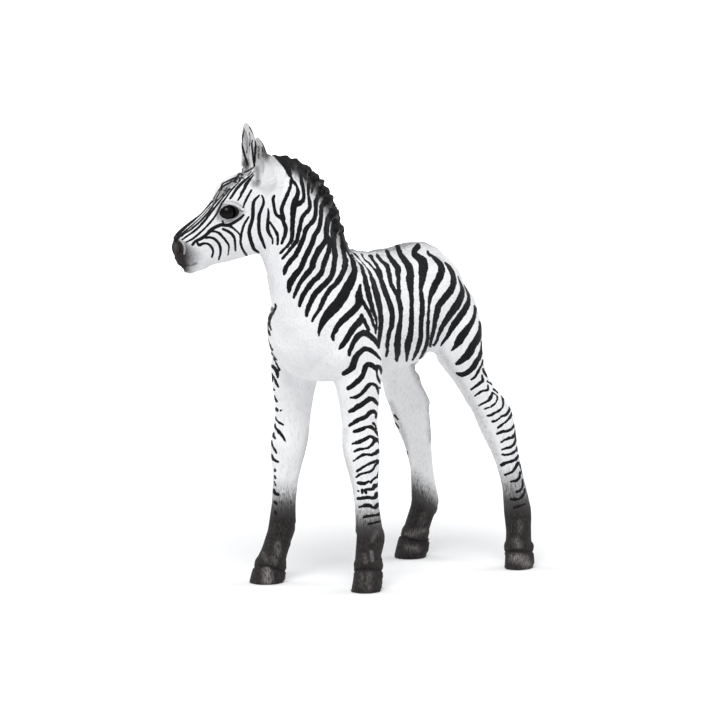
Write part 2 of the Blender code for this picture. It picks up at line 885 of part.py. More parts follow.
def main():
    clear_scene()
    coat = make_material("coat_white_pvc", (0.84, 0.84, 0.85), 0.55)
    mane_paint = make_material("mane_charcoal", (0.05, 0.05, 0.055), 0.6)
    ear_paint = make_material("ear_grey", (0.55, 0.54, 0.54), 0.6)
    eye_paint = make_material("eye_gloss_black", (0.01, 0.01, 0.012), 0.15)
    form = make_form()
    trunk, neck, head, mane = split_form(form, coat, mane_paint)
    pieces = [trunk, neck, head, mane]
    pieces += add_legs(form, trunk, coat)
    peg_and_socket(neck, trunk, "neck", neck_joint_point, -neck_joint_normal, neck_peg_radius)
    under, beside = head_peg_shares
    head_seat = head_joint_point - upward * (under * head_depth) - head_out * (beside * head_width)
    peg_and_socket(head, neck, "head", head_seat, -head_joint_normal, head_peg_radius)
    pieces += add_ears((head, neck), ear_paint)
    pieces += add_eyes(head, eye_paint)
    pieces.append(add_tail(trunk, mane_paint))
    shade_pieces(pieces)
    stand_on_origin(pieces)


main()
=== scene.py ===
# %% [markdown]
# # A painted zebra foal, dressed over its plain CAD pieces
# The real object is a small PVC figure about 9 cm tall. It is moulded with fine fur and
# then painted by hand: near-white coat, black stripes, sooty lower legs and muzzle.
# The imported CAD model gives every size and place. This script loads it as a fixed frame
# and grows the finer surface over it, so nothing here changes the figure's dimensions.

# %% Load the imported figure
import math
import bpy
import numpy as np
from mathutils import Matrix, Vector
from mathutils.kdtree import KDTree


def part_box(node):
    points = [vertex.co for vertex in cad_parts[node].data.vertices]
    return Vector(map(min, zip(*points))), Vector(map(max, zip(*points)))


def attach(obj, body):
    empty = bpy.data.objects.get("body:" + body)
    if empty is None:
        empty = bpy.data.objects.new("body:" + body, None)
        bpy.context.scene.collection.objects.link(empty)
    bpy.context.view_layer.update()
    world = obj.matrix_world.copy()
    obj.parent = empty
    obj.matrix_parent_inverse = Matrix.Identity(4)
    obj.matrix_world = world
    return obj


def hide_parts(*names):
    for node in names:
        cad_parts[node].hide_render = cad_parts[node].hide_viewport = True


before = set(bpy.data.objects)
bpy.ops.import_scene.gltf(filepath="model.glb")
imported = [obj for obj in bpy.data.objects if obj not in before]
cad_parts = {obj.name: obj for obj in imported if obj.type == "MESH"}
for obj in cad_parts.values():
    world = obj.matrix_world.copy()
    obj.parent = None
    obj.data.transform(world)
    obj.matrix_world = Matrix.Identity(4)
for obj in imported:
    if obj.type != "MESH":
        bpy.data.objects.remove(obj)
bpy.ops.object.select_all(action="DESELECT")
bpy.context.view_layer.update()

# %% [markdown]
# ## Camera and stage
# The photograph was taken from the foal's left front, a little above its middle, with a
# long lens, so the camera here is far away and narrow. A plain pale floor carries the
# shadow, and the background is white only for the camera: the light on the foal stays soft.

# %% Camera at the photograph's angle
def put_in_scene(name, data):
    """A new object that holds this mesh, lamp or camera."""
    item = bpy.data.objects.new(name, data)
    bpy.context.scene.collection.objects.link(item)
    return item


towards_camera = Vector((0.6754, -0.7242, 0.1392)).normalized()
view_right = Vector((0.7314, 0.6820, 0.0)).normalized()
view_up = towards_camera.cross(view_right)
camera_target = Vector((-0.00693, 0.00903, 0.04090))
camera_place = camera_target + towards_camera * 1.4
camera_data = bpy.data.cameras.new("photo_camera")
camera_data.sensor_width = 36.0
camera_data.lens = 364.0
camera_data.clip_end = 20.0
camera = put_in_scene("photo_camera", camera_data)
camera.location = camera_place
camera.rotation_euler = towards_camera.to_track_quat("Z", "Y").to_euler()
bpy.context.scene.camera = camera
pixels_wide = 720
frame_middle = pixels_wide / 2.0
pixels_per_unit = pixels_wide * camera_data.lens / camera_data.sensor_width
print("Camera at", [round(value, 3) for value in camera_place])

# %% Colours render as they are written
scene = bpy.context.scene
scene.view_settings.view_transform = "Standard"


def add_lamp(name, place, aim, size, power):
    """A square soft lamp that shines from its place to the aim."""
    lamp_data = bpy.data.lights.new(name, "AREA")
    lamp_data.shape = "SQUARE"
    lamp_data.size = size
    lamp_data.energy = power
    lamp = put_in_scene(name, lamp_data)
    lamp.location = place
    away = Vector(place) - Vector(aim)
    lamp.rotation_euler = away.to_track_quat("Z", "Y").to_euler()


figure_middle = (0.0, 0.0, 0.045)
add_lamp("key_lamp", (0.35, -0.45, 0.75), figure_middle, 0.45, 5.3)
add_lamp("fill_lamp", (-0.75, -0.35, 0.40), figure_middle, 0.60, 2.4)
add_lamp("back_lamp", (0.30, 0.80, 0.60), figure_middle, 0.60, 3.0)

# %% White for the camera, soft grey light for the foal
white = (1.0, 1.0, 1.0, 1.0)


def set_inputs(tree, node, inputs):
    """Give each input its number or colour, or link it to another node's output."""
    for label, value in inputs.items():
        if isinstance(value, bpy.types.NodeSocket):
            tree.links.new(value, node.inputs[label])
        else:
            node.inputs[label].default_value = value


def add_node(tree, kind, inputs, **settings):
    """A shader node with its settings and inputs."""
    node = tree.nodes.new(kind)
    for setting, value in settings.items():
        setattr(node, setting, value)
    set_inputs(tree, node, inputs)
    return node


def new_material(name):
    """A material's node tree and its shader."""
    material = bpy.data.materials.new(name)
    material.use_nodes = True
    return material, material.node_tree, material.node_tree.nodes["Principled BSDF"]


world = bpy.data.worlds.new("studio_air")
scene.world = world
world.use_nodes = True
air = world.node_tree
air.nodes.clear()
seen_air = add_node(air, "ShaderNodeBackground", {"Color": white, "Strength": 1.0})
lit_air = add_node(air, "ShaderNodeBackground", {"Color": (0.96, 0.975, 1.0, 1.0), "Strength": 0.44})
rays = add_node(air, "ShaderNodeLightPath", {})
air_mix = add_node(air, "ShaderNodeMixShader", {
    "Fac": rays.outputs["Is Camera Ray"],
    1: lit_air.outputs["Background"], 2: seen_air.outputs["Background"],
})
add_node(air, "ShaderNodeOutputWorld", {"Surface": air_mix.outputs["Shader"]})

# %% The floor fades to white for the camera
bpy.ops.mesh.primitive_plane_add(size=6.0, location=(0.0, 0.0, 0.0))
floor = bpy.context.active_object
floor.name = "studio_floor"
floor_paint, card, card_shader = new_material("floor_card")
place = add_node(card, "ShaderNodeTexCoord", {})
reach = add_node(card, "ShaderNodeVectorMath", {0: place.outputs["Object"]}, operation="LENGTH")
fade = add_node(card, "ShaderNodeMapRange", {
    "Value": reach.outputs["Value"], "From Min": 0.05, "From Max": 0.50, "To Min": 0.10, "To Max": 1.0,
})
rays = add_node(card, "ShaderNodeLightPath", {})
seen = add_node(card, "ShaderNodeMath", {0: fade.outputs["Result"], 1: rays.outputs["Is Camera Ray"]},
                operation="MULTIPLY")
set_inputs(card, card_shader, {
    "Emission Strength": seen.outputs["Value"], "Emission Color": white,
    "Base Color": (0.90, 0.90, 0.90, 1.0), "Roughness": 0.9, "Specular IOR Level": 0.1,
})
floor.data.materials.append(floor_paint)
print("Stage ready")

# %% [markdown]
# ## One skin over all the moulded parts
# The CAD solids have a hair of glue gap between them and flat facets. The real foal shows
# one unbroken surface. So the solids are copied, swollen by less than a gap, joined and
# wrapped in one fine voxel skin, which is then relaxed and drawn back to its old size.

# %% Helpers that read and move points
def ease(low, high, values):
    """0 below low, 1 above high and a smooth rise between."""
    share = np.clip((values - low) / (high - low), 0.0, 1.0)
    return share * share * (3.0 - 2.0 * share)


def read_points(item):
    """The object's points in millimetres."""
    values = np.empty(len(item.data.vertices) * 3)
    item.data.vertices.foreach_get("co", values)
    return values.reshape(-1, 3) * 1000.0


def write_points(item, points):
    """Put points in millimetres back into the object."""
    item.data.vertices.foreach_set("co", (points / 1000.0).ravel())
    item.data.update()


def read_normals(item):
    """The direction that each point faces."""
    values = np.empty(len(item.data.vertices) * 3, dtype=np.float32)
    item.data.vertex_normals.foreach_get("vector", values)
    return values.reshape(-1, 3).astype(float)


def choose(*items):
    """Select these objects alone, the first as the active one."""
    bpy.ops.object.select_all(action="DESELECT")
    for item in items:
        item.select_set(True)
    bpy.context.view_layer.objects.active = items[0]


def apply_step(item, kind, **settings):
    """Add a modifier with its settings and apply it."""
    choose(item)
    step = item.modifiers.new("step", kind)
    for setting, value in settings.items():
        setattr(step, setting, value)
    bpy.ops.object.modifier_apply(modifier="step")


def edit_all(item, operator, **settings):
    """Run one edit-mode operator on the object's whole mesh."""
    choose(item)
    bpy.ops.object.mode_set(mode="EDIT")
    bpy.ops.mesh.select_all(action="SELECT")
    operator(**settings)
    bpy.ops.object.mode_set(mode="OBJECT")


def copy_node(node):
    """A copy of a CAD node's mesh, with its loose triangles merged."""
    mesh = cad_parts[node].data.copy()
    mesh.materials.clear()
    item = put_in_scene(node + "_copy", mesh)
    edit_all(item, bpy.ops.mesh.remove_doubles, threshold=0.000001)
    return item


# %% [markdown]
# Several steps need to know where the neck and the head are. These are the CAD model's own
# driving sizes, so every place on the neck and the head is worked out from them.

# %% The neck's and the head's sizes, in millimetres
foal_middle = 1.6
upward = Vector((0.0, 0.0, 1.0))
neck_root = Vector((foal_middle, -12.38, 52.784))
neck_length = 26.0
neck_lean = 8.5
neck_bend = 2.2
neck_depth = 17.2
head_turn = math.radians(47.0)
head_pitch = math.radians(39.3)
head_length = 21.9
head_depth = 14.0
head_width = 9.8
head_ahead = Vector((-math.sin(head_turn), -math.cos(head_turn), 0.0))
head_out = Vector((math.cos(head_turn), -math.sin(head_turn), 0.0))
head_down = head_ahead * math.cos(head_pitch) - upward * math.sin(head_pitch)
head_up = head_ahead * math.sin(head_pitch) + upward * math.cos(head_pitch)


def neck_point(along, lean, bend):
    """A point on the neck's middle line, from shares of its length, lean and bend."""
    return neck_root + Vector((-bend * neck_bend, -lean * neck_lean, along * neck_length))


poll_share = 0.082
poll = neck_point(1.0, 1.0, 1.0) + head_ahead * (poll_share * head_length)
print("Poll at", [round(value, 2) for value in poll])

# %% [markdown]
# The eyelids are moulded with the head. Each pair is a thin ball shell round the eye with an
# almond opening cut through it, and it melts into the head when the skin is wrapped.

# %% The eyelids
lid_radius = 2.06
lid_inside = 1.74
almond = (1.72, 1.12)
almond_tilt = math.radians(8.7)
almond_shift = (0.55, 0.18)


def ball(middle, radius, segments):
    """A ball with its origin left at zero, in metres."""
    bpy.ops.mesh.primitive_uv_sphere_add(segments=segments, ring_count=segments // 2, radius=radius,
                                         location=middle)
    bpy.ops.object.transform_apply(location=True, rotation=True, scale=True)
    return bpy.context.active_object


def cut_with(item, block, operation):
    """Keep what lies inside the block, or take the block away."""
    apply_step(item, "BOOLEAN", operation=operation, solver="MANIFOLD", object=block)


def eyelids(node, side):
    """The shell of one eye; side is 1 for the left eye and -1 for the right one."""
    low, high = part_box(node)
    middle = [(a + b) * 500.0 for a, b in zip(low, high)]
    place = [value / 1000.0 for value in middle]
    lids = ball(place, lid_radius / 1000.0, 64)
    hollow = ball(place, lid_inside / 1000.0, 64)
    out = head_out * side
    back = upward * math.sin(almond_tilt) - head_ahead * math.cos(almond_tilt)
    rise = out.cross(back) * side
    bpy.ops.mesh.primitive_cylinder_add(vertices=48, radius=1.0, depth=1.0)
    opening = bpy.context.active_object
    columns = [back * almond[0], rise * almond[1] * side, out * 3.0]
    foot = Vector(middle) + out * 1.6 + back * almond_shift[0] + upward * almond_shift[1]
    for index, vertex in enumerate(opening.data.vertices):
        x, y, z = vertex.co
        vertex.co = (foot + columns[0] * x + columns[1] * y + columns[2] * z) / 1000.0
    edit_all(opening, bpy.ops.mesh.normals_make_consistent, inside=False)
    for block in (hollow, opening):
        cut_with(lids, block, "DIFFERENCE")
        bpy.data.objects.remove(block)
    return lids


lids = [eyelids("eye_left", 1), eyelids("eye_right", -1)]
print("Lid points:", [len(item.data.vertices) for item in lids])

# %% Wrap the moulded parts in one skin
moulded_nodes = ["trunk", "neck", "head", "mane", "ear_left", "ear_right",
                 "foreleg_left", "foreleg_right", "hindleg_left", "hindleg_right"]
swelling = 0.22
skin_grain = 0.00020
kept_swelling = 0.02


def swell(item, amount):
    """Push every point out along the way it faces."""
    write_points(item, read_points(item) + read_normals(item) * amount)


def wrap_skin(item, grain, rounds):
    """One closed voxel skin, relaxed."""
    apply_step(item, "REMESH", mode="VOXEL", voxel_size=grain)
    apply_step(item, "SMOOTH", factor=0.5, iterations=rounds)


copies = [copy_node(node) for node in moulded_nodes]
for item in copies:
    swell(item, swelling)
choose(*(copies + lids))
bpy.ops.object.join()
skin = bpy.context.active_object
wrap_skin(skin, skin_grain, 12)
swell(skin, kept_swelling - swelling)
print("Skin points:", len(skin.data.vertices))

# %% [markdown]
# ## Cut the skin into the figure's own pieces
# The figure is cast in pieces that are glued together, and the CAD model has the same cuts:
# a sloping face at the top of each leg, one at the root of the neck, one behind the jaw, and
# a channel along the crest that holds the mane. A block is bisected out of a cube for each
# space, and a boolean keeps what lies inside. Neighbours share their cut exactly.

# %% The cutting planes, in millimetres
leg_inset = 1.6
leg_rise = math.radians(42.0)
leg_heights = {"foreleg": 39.5, "hindleg": 42.5}
leg_names = ("foreleg_left", "foreleg_right", "hindleg_left", "hindleg_right")
neck_cut_lean = math.radians(35.0)
neck_cut_share = 0.254
neck_cut_point = neck_root + upward * (neck_cut_share * neck_length)
neck_cut_facing = Vector((0.0, -math.sin(neck_cut_lean), math.cos(neck_cut_lean)))
head_cut_lean = math.radians(11.3)
head_cut_share = 0.15
head_cut_point = poll - head_ahead * (head_cut_share * head_length)
head_cut_facing = head_ahead * math.cos(head_cut_lean) + upward * math.sin(head_cut_lean)

# Each ear: its place along, up and out on the head, its axis, and its opening's turn
ear_places = {
    "ear_left": ((0.02, 0.05, 0.64), (0.09, 0.90, 0.36), 0.36),
    "ear_right": ((0.05, 0.20, -0.62), (0.14, 0.95, -0.06), 0.20),
}
ear_cut_rise = 1.0
ear_half_width = 3.6
ear_half_depth = 2.6

# The crest's edge: rise up the neck, back across it and bend, in shares of the neck's sizes
crest_shares = [
    (0.43, 0.58, 0), (0.48, 0.54, 0), (0.605, 0.465, 0), (0.74, 0.39, 0), (0.87, 0.295, 0.1),
    (0.985, 0.17, 0.25), (1.085, 0, 0.4), (1.15, -0.19, 0.6), (1.175, -0.4, 0.8), (1.185, -0.6, 1.1),
]


def crest_course():
    """Each point of the crest's edge with its outward and sideways directions."""
    edge = [neck_root + Vector((-bend * neck_bend, back * neck_depth, rise * neck_length))
            for rise, back, bend in crest_shares]
    befores = edge[:1] + edge[:-1]
    afters = edge[1:] + edge[-1:]
    course = []
    for point, before, after, (rise, back, bend) in zip(edge, befores, afters, crest_shares):
        way = (after - before).normalized()
        across = Matrix.Rotation(-head_turn * min(bend, 1.0), 3, "Z") @ Vector((1.0, 0.0, 0.0))
        across = (across - way * across.dot(way)).normalized()
        course.append((point, way.cross(across), across))
    return course


def ear_frame(name):
    """The middle of an ear's cut, the ear's axis and the way that its opening faces."""
    (along, rise, out), (ahead, up, aside), turn_share = ear_places[name]
    root = poll + head_down * (along * head_length) + head_up * (rise * head_depth)
    root += head_out * (out * head_width / 2.0)
    axis = (head_ahead * ahead + upward * up + head_out * aside).normalized()
    opening = Matrix.Rotation(turn_share * math.pi, 3, axis) @ head_ahead
    opening = (opening - axis * opening.dot(axis)).normalized()
    return root + axis * ear_cut_rise, axis, opening


print("Crest from", crest_course()[0][0], "to", crest_course()[-1][0])


# %% Blocks and booleans
def cut_block(planes):
    """A big cube cut down to what lies on the facing side of every plane."""
    bpy.ops.mesh.primitive_cube_add(size=0.3, location=(0.0, 0.0, 0.05))
    block = bpy.context.active_object
    bpy.ops.object.transform_apply(location=True, rotation=True, scale=True)
    bpy.ops.object.mode_set(mode="EDIT")
    for point, facing in planes:
        bpy.ops.mesh.select_all(action="SELECT")
        place = [value / 1000.0 for value in point]
        bpy.ops.mesh.bisect(plane_co=place, plane_no=facing, use_fill=True, clear_inner=True)
    bpy.ops.object.mode_set(mode="OBJECT")
    return block


def leg_block(name):
    """The space of one leg: out from the foal's middle and down from its sloping joint."""
    side = 1.0 if name.endswith("left") else -1.0
    low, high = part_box(name)
    end, way = (high[1], -1.0) if name.startswith("foreleg") else (low[1], 1.0)
    inner = (foal_middle + side * leg_inset, 0.0, 0.0)
    slope = (side * math.sin(leg_rise), 0.0, -math.cos(leg_rise))
    joint = (foal_middle, 0.0, leg_heights[name.split("_")[0]])
    front = (0.0, end * 1000.0, 0.0)
    return cut_block([(inner, (side, 0.0, 0.0)), (joint, slope), (front, (0.0, way, 0.0))])


def mane_block():
    """The channel along the crest, as a strip of box sections."""
    beside = 2.0
    below = 3.0
    above = 3.0
    corners = []
    for point, outward, across in crest_course():
        side = across * beside
        low = point - outward * below
        high = point + outward * above
        corners += [low - side, low + side, high + side, high - side]
    faces = [(0, 1, 2, 3)]
    for ring in range(len(crest_shares) - 1):
        for corner in range(4):
            a = ring * 4 + corner
            b = ring * 4 + (corner + 1) % 4
            faces.append((a, a + 4, b + 4, b))
    last = len(corners) - 4
    faces.append((last + 3, last + 2, last + 1, last))
    mesh = bpy.data.meshes.new("mane_block")
    mesh.from_pydata([corner / 1000.0 for corner in corners], [], faces)
    mesh.update()
    block = put_in_scene("mane_block", mesh)
    edit_all(block, bpy.ops.mesh.normals_make_consistent, inside=False)
    return block


# %% Cut every piece out of the skin
def copy_inside(item, name, block):
    """A copy of the object that keeps only what lies inside the block."""
    part = put_in_scene(name + "_skin", item.data.copy())
    cut_with(part, block, "INTERSECT")
    return part


pieces = {}
channel = mane_block()
neck_side = cut_block([(neck_cut_point, neck_cut_facing)])
head_side = cut_block([(head_cut_point, head_cut_facing)])
helpers = [skin, channel, neck_side, head_side]
trunk = put_in_scene("trunk_skin", skin.data.copy())
for name in leg_names:
    block = leg_block(name)
    helpers.append(block)
    pieces[name] = copy_inside(skin, name, block)
    cut_with(trunk, block, "DIFFERENCE")
neck = copy_inside(trunk, "neck", neck_side)
head = copy_inside(neck, "head", head_side)
mane = copy_inside(trunk, "mane", channel)
for item, block in ((neck, head_side), (neck, channel), (mane, head_side), (trunk, neck_side),
                    (trunk, channel)):
    cut_with(item, block, "DIFFERENCE")
for name in ear_places:
    point, facing, opening = ear_frame(name)
    across = facing.cross(opening)
    planes = [(point, facing)]
    for way, room in ((across, ear_half_width), (opening, ear_half_depth)):
        planes += [(point + way * room, -way), (point - way * room, way)]
    block = cut_block(planes)
    helpers.append(block)
    pieces[name] = copy_inside(head, name, block)
    cut_with(head, block, "DIFFERENCE")
pieces.update({"trunk": trunk, "neck": neck, "head": head, "mane": mane})
for name, piece in pieces.items():
    print(name, len(piece.data.vertices))

# %% [markdown]
# ## Tail and eyes
# The tail is a thin lock of moulded hair, so it gets its own finer skin. The eyes are glossy
# beads: each is a ball at the CAD eye's place and size.

# %% The tail's own skin
tail = copy_node("tail")
wrap_skin(tail, 0.00015, 8)
pieces["tail"] = tail
print("tail", len(tail.data.vertices))

# %% The eye beads
for name in ("eye_left", "eye_right"):
    low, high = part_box(name)
    middle = [(a + b) / 2.0 for a, b in zip(low, high)]
    radius = (high[2] - low[2]) / 2.0
    pieces[name] = ball(middle, radius, 48)
    print(name, [round(value, 5) for value in middle], round(radius, 5))

# %% [markdown]
# ## A photo address for every point
# The stripes are painted by hand on the real foal, so no two are alike and a wave texture
# would look false. Here each stripe is a brush stroke: a few points picked on the
# photograph, each with the stroke's width. To use them, every point of the skin needs its
# place in the photograph. The far side was not photographed, so a point there borrows the
# address of its mirror twin on the near side, as a painter would repeat the pattern.

# %% From a place in space to a place in the photograph
camera_mm = np.array(camera_place) * 1000.0
right_way = np.array(view_right)
up_way = np.array(view_up)
out_way = np.array(towards_camera)


def photo_address(points):
    """The photograph's x and y for points in millimetres."""
    offset = points - camera_mm
    depth = -(offset @ out_way)
    across = frame_middle + pixels_per_unit * (offset @ right_way) / depth
    down = frame_middle - pixels_per_unit * (offset @ up_way) / depth
    return np.stack([across, down], axis=1)


eye_middle = read_points(pieces["eye_left"]).mean(axis=0)
print("The near eye's address:", photo_address(eye_middle[None]).round(1))

# %% [markdown]
# The neck twists as it rises and the head looks to the foal's right, so the mirror plane
# turns with them. The right legs stand elsewhere than the left ones, so a point of a right
# leg is moved across by the middle of the two legs at its own height.

# %% The skin's own directions
skin_points = read_points(skin)
skin_facing = read_normals(skin)
skin_tree = KDTree(len(skin_points))
for index, point in enumerate(skin_points):
    skin_tree.insert(point, index)
skin_tree.balance()


def uncut_normals(piece):
    """Which way the uncut skin faces at each point: a cut face would tilt a rim's own."""
    nearest = [skin_tree.find(point)[1] for point in read_points(piece)]
    facing = skin_facing[nearest]
    own = read_normals(piece)
    same = np.sum(facing * own, axis=1) > 0.85
    return np.where(same[:, None], own, facing)


# %% Mirror twins
neck_shares = [(0.22, 0.22, 0.04), (0.45, 0.46, 0.15), (0.68, 0.70, 0.40), (0.88, 0.90, 0.72),
               (1.0, 1.0, 1.0)]
neck_line = [Vector((foal_middle, -9.8, 45.0))]
neck_line += [neck_point(*shares) for shares in neck_shares]
neck_line += [Vector((-1.0, -21.5, 82.0))]
neck_middles_x, neck_middles_y, neck_heights = np.array(neck_line).T
bends = [0.0] + [bend for along, lean, bend in neck_shares] + [1.0]
throat_turns = [math.degrees(head_turn) * bend for bend in bends]
crest_turns = [0.0, 0.4, 1.4, 3.8, 6.2, 8.2, 14.0]
poll_place = np.array(poll)
head_rise_way = np.array(head_up)
head_side_way = np.array(head_out)


def mirror(points, middle, across):
    """Points seen in a mirror with this middle and this facing."""
    away = np.sum((points - middle) * across, axis=1)
    return points - 2.0 * away[:, None] * across


def trunk_middle(points):
    """The mirror plane moves to the far side on top, where the camera sees past the spine."""
    middle = np.zeros_like(points)
    middle[:, 0] = foal_middle - 2.0 * ease(56.0, 62.0, points[:, 2])
    return middle


def trunk_twin(points):
    return mirror(points, trunk_middle(points), np.array([1.0, 0.0, 0.0]))


def neck_frame(points):
    """The neck's middle and sideways direction at each point's height."""
    height = points[:, 2]
    middle = np.stack([
        np.interp(height, neck_heights, neck_middles_x),
        np.interp(height, neck_heights, neck_middles_y),
        height,
    ], axis=1)
    behind = ease(-3.0, 3.0, points[:, 1] - middle[:, 1])
    throat = np.interp(height, neck_heights, throat_turns)
    crest = np.interp(height, neck_heights, crest_turns)
    turn = np.radians(throat + (crest - throat) * behind)
    across = np.stack([np.cos(turn), -np.sin(turn), np.zeros(len(turn))], axis=1)
    return middle, across


def side_of_neck(points):
    middle, across = neck_frame(points)
    return np.sum((points - middle) * across, axis=1)


def neck_twin(points):
    middle, across = neck_frame(points)
    return mirror(points, middle, across)


def head_middle(points):
    rise = (points - poll_place) @ head_rise_way
    return poll_place - 0.6 * ease(-3.0, 3.0, rise)[:, None] * head_side_way


def side_of_head(points):
    return np.sum((points - head_middle(points)) * head_side_way, axis=1)


def head_twin(points):
    return mirror(points, head_middle(points), head_side_way)


def leg_middle(points, heights):
    """The leg's middle at each height, from slices of its own points."""
    levels = np.arange(0.0, 54.0, 1.5)
    middles = []
    for level in levels:
        slice_points = points[np.abs(points[:, 2] - level) < 1.2]
        if len(slice_points) == 0:
            middles.append(middles[-1])
        else:
            low = slice_points[:, :2].min(axis=0)
            high = slice_points[:, :2].max(axis=0)
            middles.append((low + high) / 2.0)
    middles = np.array(middles)
    across = np.interp(heights, levels, middles[:, 0])
    along = np.interp(heights, levels, middles[:, 1])
    return np.stack([across, along], axis=1)


def leg_twin(points, near_points):
    """Points of a right leg, set over the left leg and mirrored."""
    own = leg_middle(points, points[:, 2])
    near = leg_middle(near_points, points[:, 2])
    twin = points.copy()
    twin[:, 0] = near[:, 0] + (own[:, 0] - points[:, 0])
    twin[:, 1] = points[:, 1] + near[:, 1] - own[:, 1]
    return twin


def addresses(name, piece):
    """Where each point of a piece finds its paint in the photograph."""
    points = read_points(piece)
    normals = facings[name]
    facing = normals @ out_way
    twin = trunk_twin(points)
    far = points[:, 0] < trunk_middle(points)[:, 0]
    if name in ("neck", "mane"):
        twin = neck_twin(points)
        far = side_of_neck(points) < -0.5
    if name == "head":
        twin = head_twin(points)
        far = side_of_head(points) < 0.0
        own = photo_address(points)
        far = far & ~((own[:, 0] < 249.0) & (own[:, 1] < 171.0) & (facing > -0.1))
    if name in ("foreleg_right", "hindleg_right"):
        near = name.replace("right", "left")
        twin = leg_twin(points, read_points(pieces[near]))
        far = facing < 0.05
    if name in ("trunk", "neck"):
        front = (facing > 0.08) & (normals[:, 1] < -0.25)
        far = far & ~front
    if name in ("foreleg_left", "hindleg_left"):
        far = np.zeros(len(points), dtype=bool)
    used = np.where(far[:, None], twin, points)
    return photo_address(used)


# %% [markdown]
# ## Brush strokes
# Each stroke is a list of (x, y, width) in the photograph's pixels, chosen down the
# middle of one stripe. A smooth curve goes through them. The paint needs the distance to
# the nearest stroke's edge: negative inside a stripe, positive on the pale coat.

# %% Smooth strokes and the distance to them
def smooth_stroke(stroke, steps=4):
    """A curve through the stroke's points, as rows of x, y and half width."""
    rows = np.array(stroke, dtype=float)
    ends = np.vstack([2 * rows[0] - rows[1], rows, 2 * rows[-1] - rows[-2]])
    curve = []
    for place in range(1, len(ends) - 2):
        a, b, c, d = ends[place - 1:place + 3]
        for step in range(steps):
            t = step / steps
            bend = 2 * b + (c - a) * t + (2 * a - 5 * b + 4 * c - d) * t * t
            curve.append(0.5 * (bend + (3 * b - a - 3 * c + d) * t ** 3))
    curve.append(rows[-1])
    curve = np.array(curve)
    curve[:, 2] = np.maximum(curve[:, 2], 0.3) / 2.0
    return curve


def stroke_distance(places, strokes, reach=12.0):
    """Pixels from each place to the nearest stroke's edge, negative inside it."""
    nearest = np.full(len(places), reach)
    for stroke in strokes:
        curve = smooth_stroke(stroke)
        low = curve[:, :2].min(axis=0) - reach
        high = curve[:, :2].max(axis=0) + reach
        close = np.all((places > low) & (places < high), axis=1)
        index = np.nonzero(close)[0]
        if len(index) == 0:
            continue
        local = places[index]
        best = np.full(len(index), reach)
        for start, end in zip(curve[:-1], curve[1:]):
            way = end[:2] - start[:2]
            long = max(float(way @ way), 1e-9)
            share = np.clip(((local - start[:2]) @ way) / long, 0.0, 1.0)
            foot = start[:2] + share[:, None] * way
            half = start[2] + share * (end[2] - start[2])
            gap = np.hypot(*(local - foot).T) - half
            best = np.minimum(best, gap)
        nearest[index] = np.minimum(nearest[index], best)
    return nearest


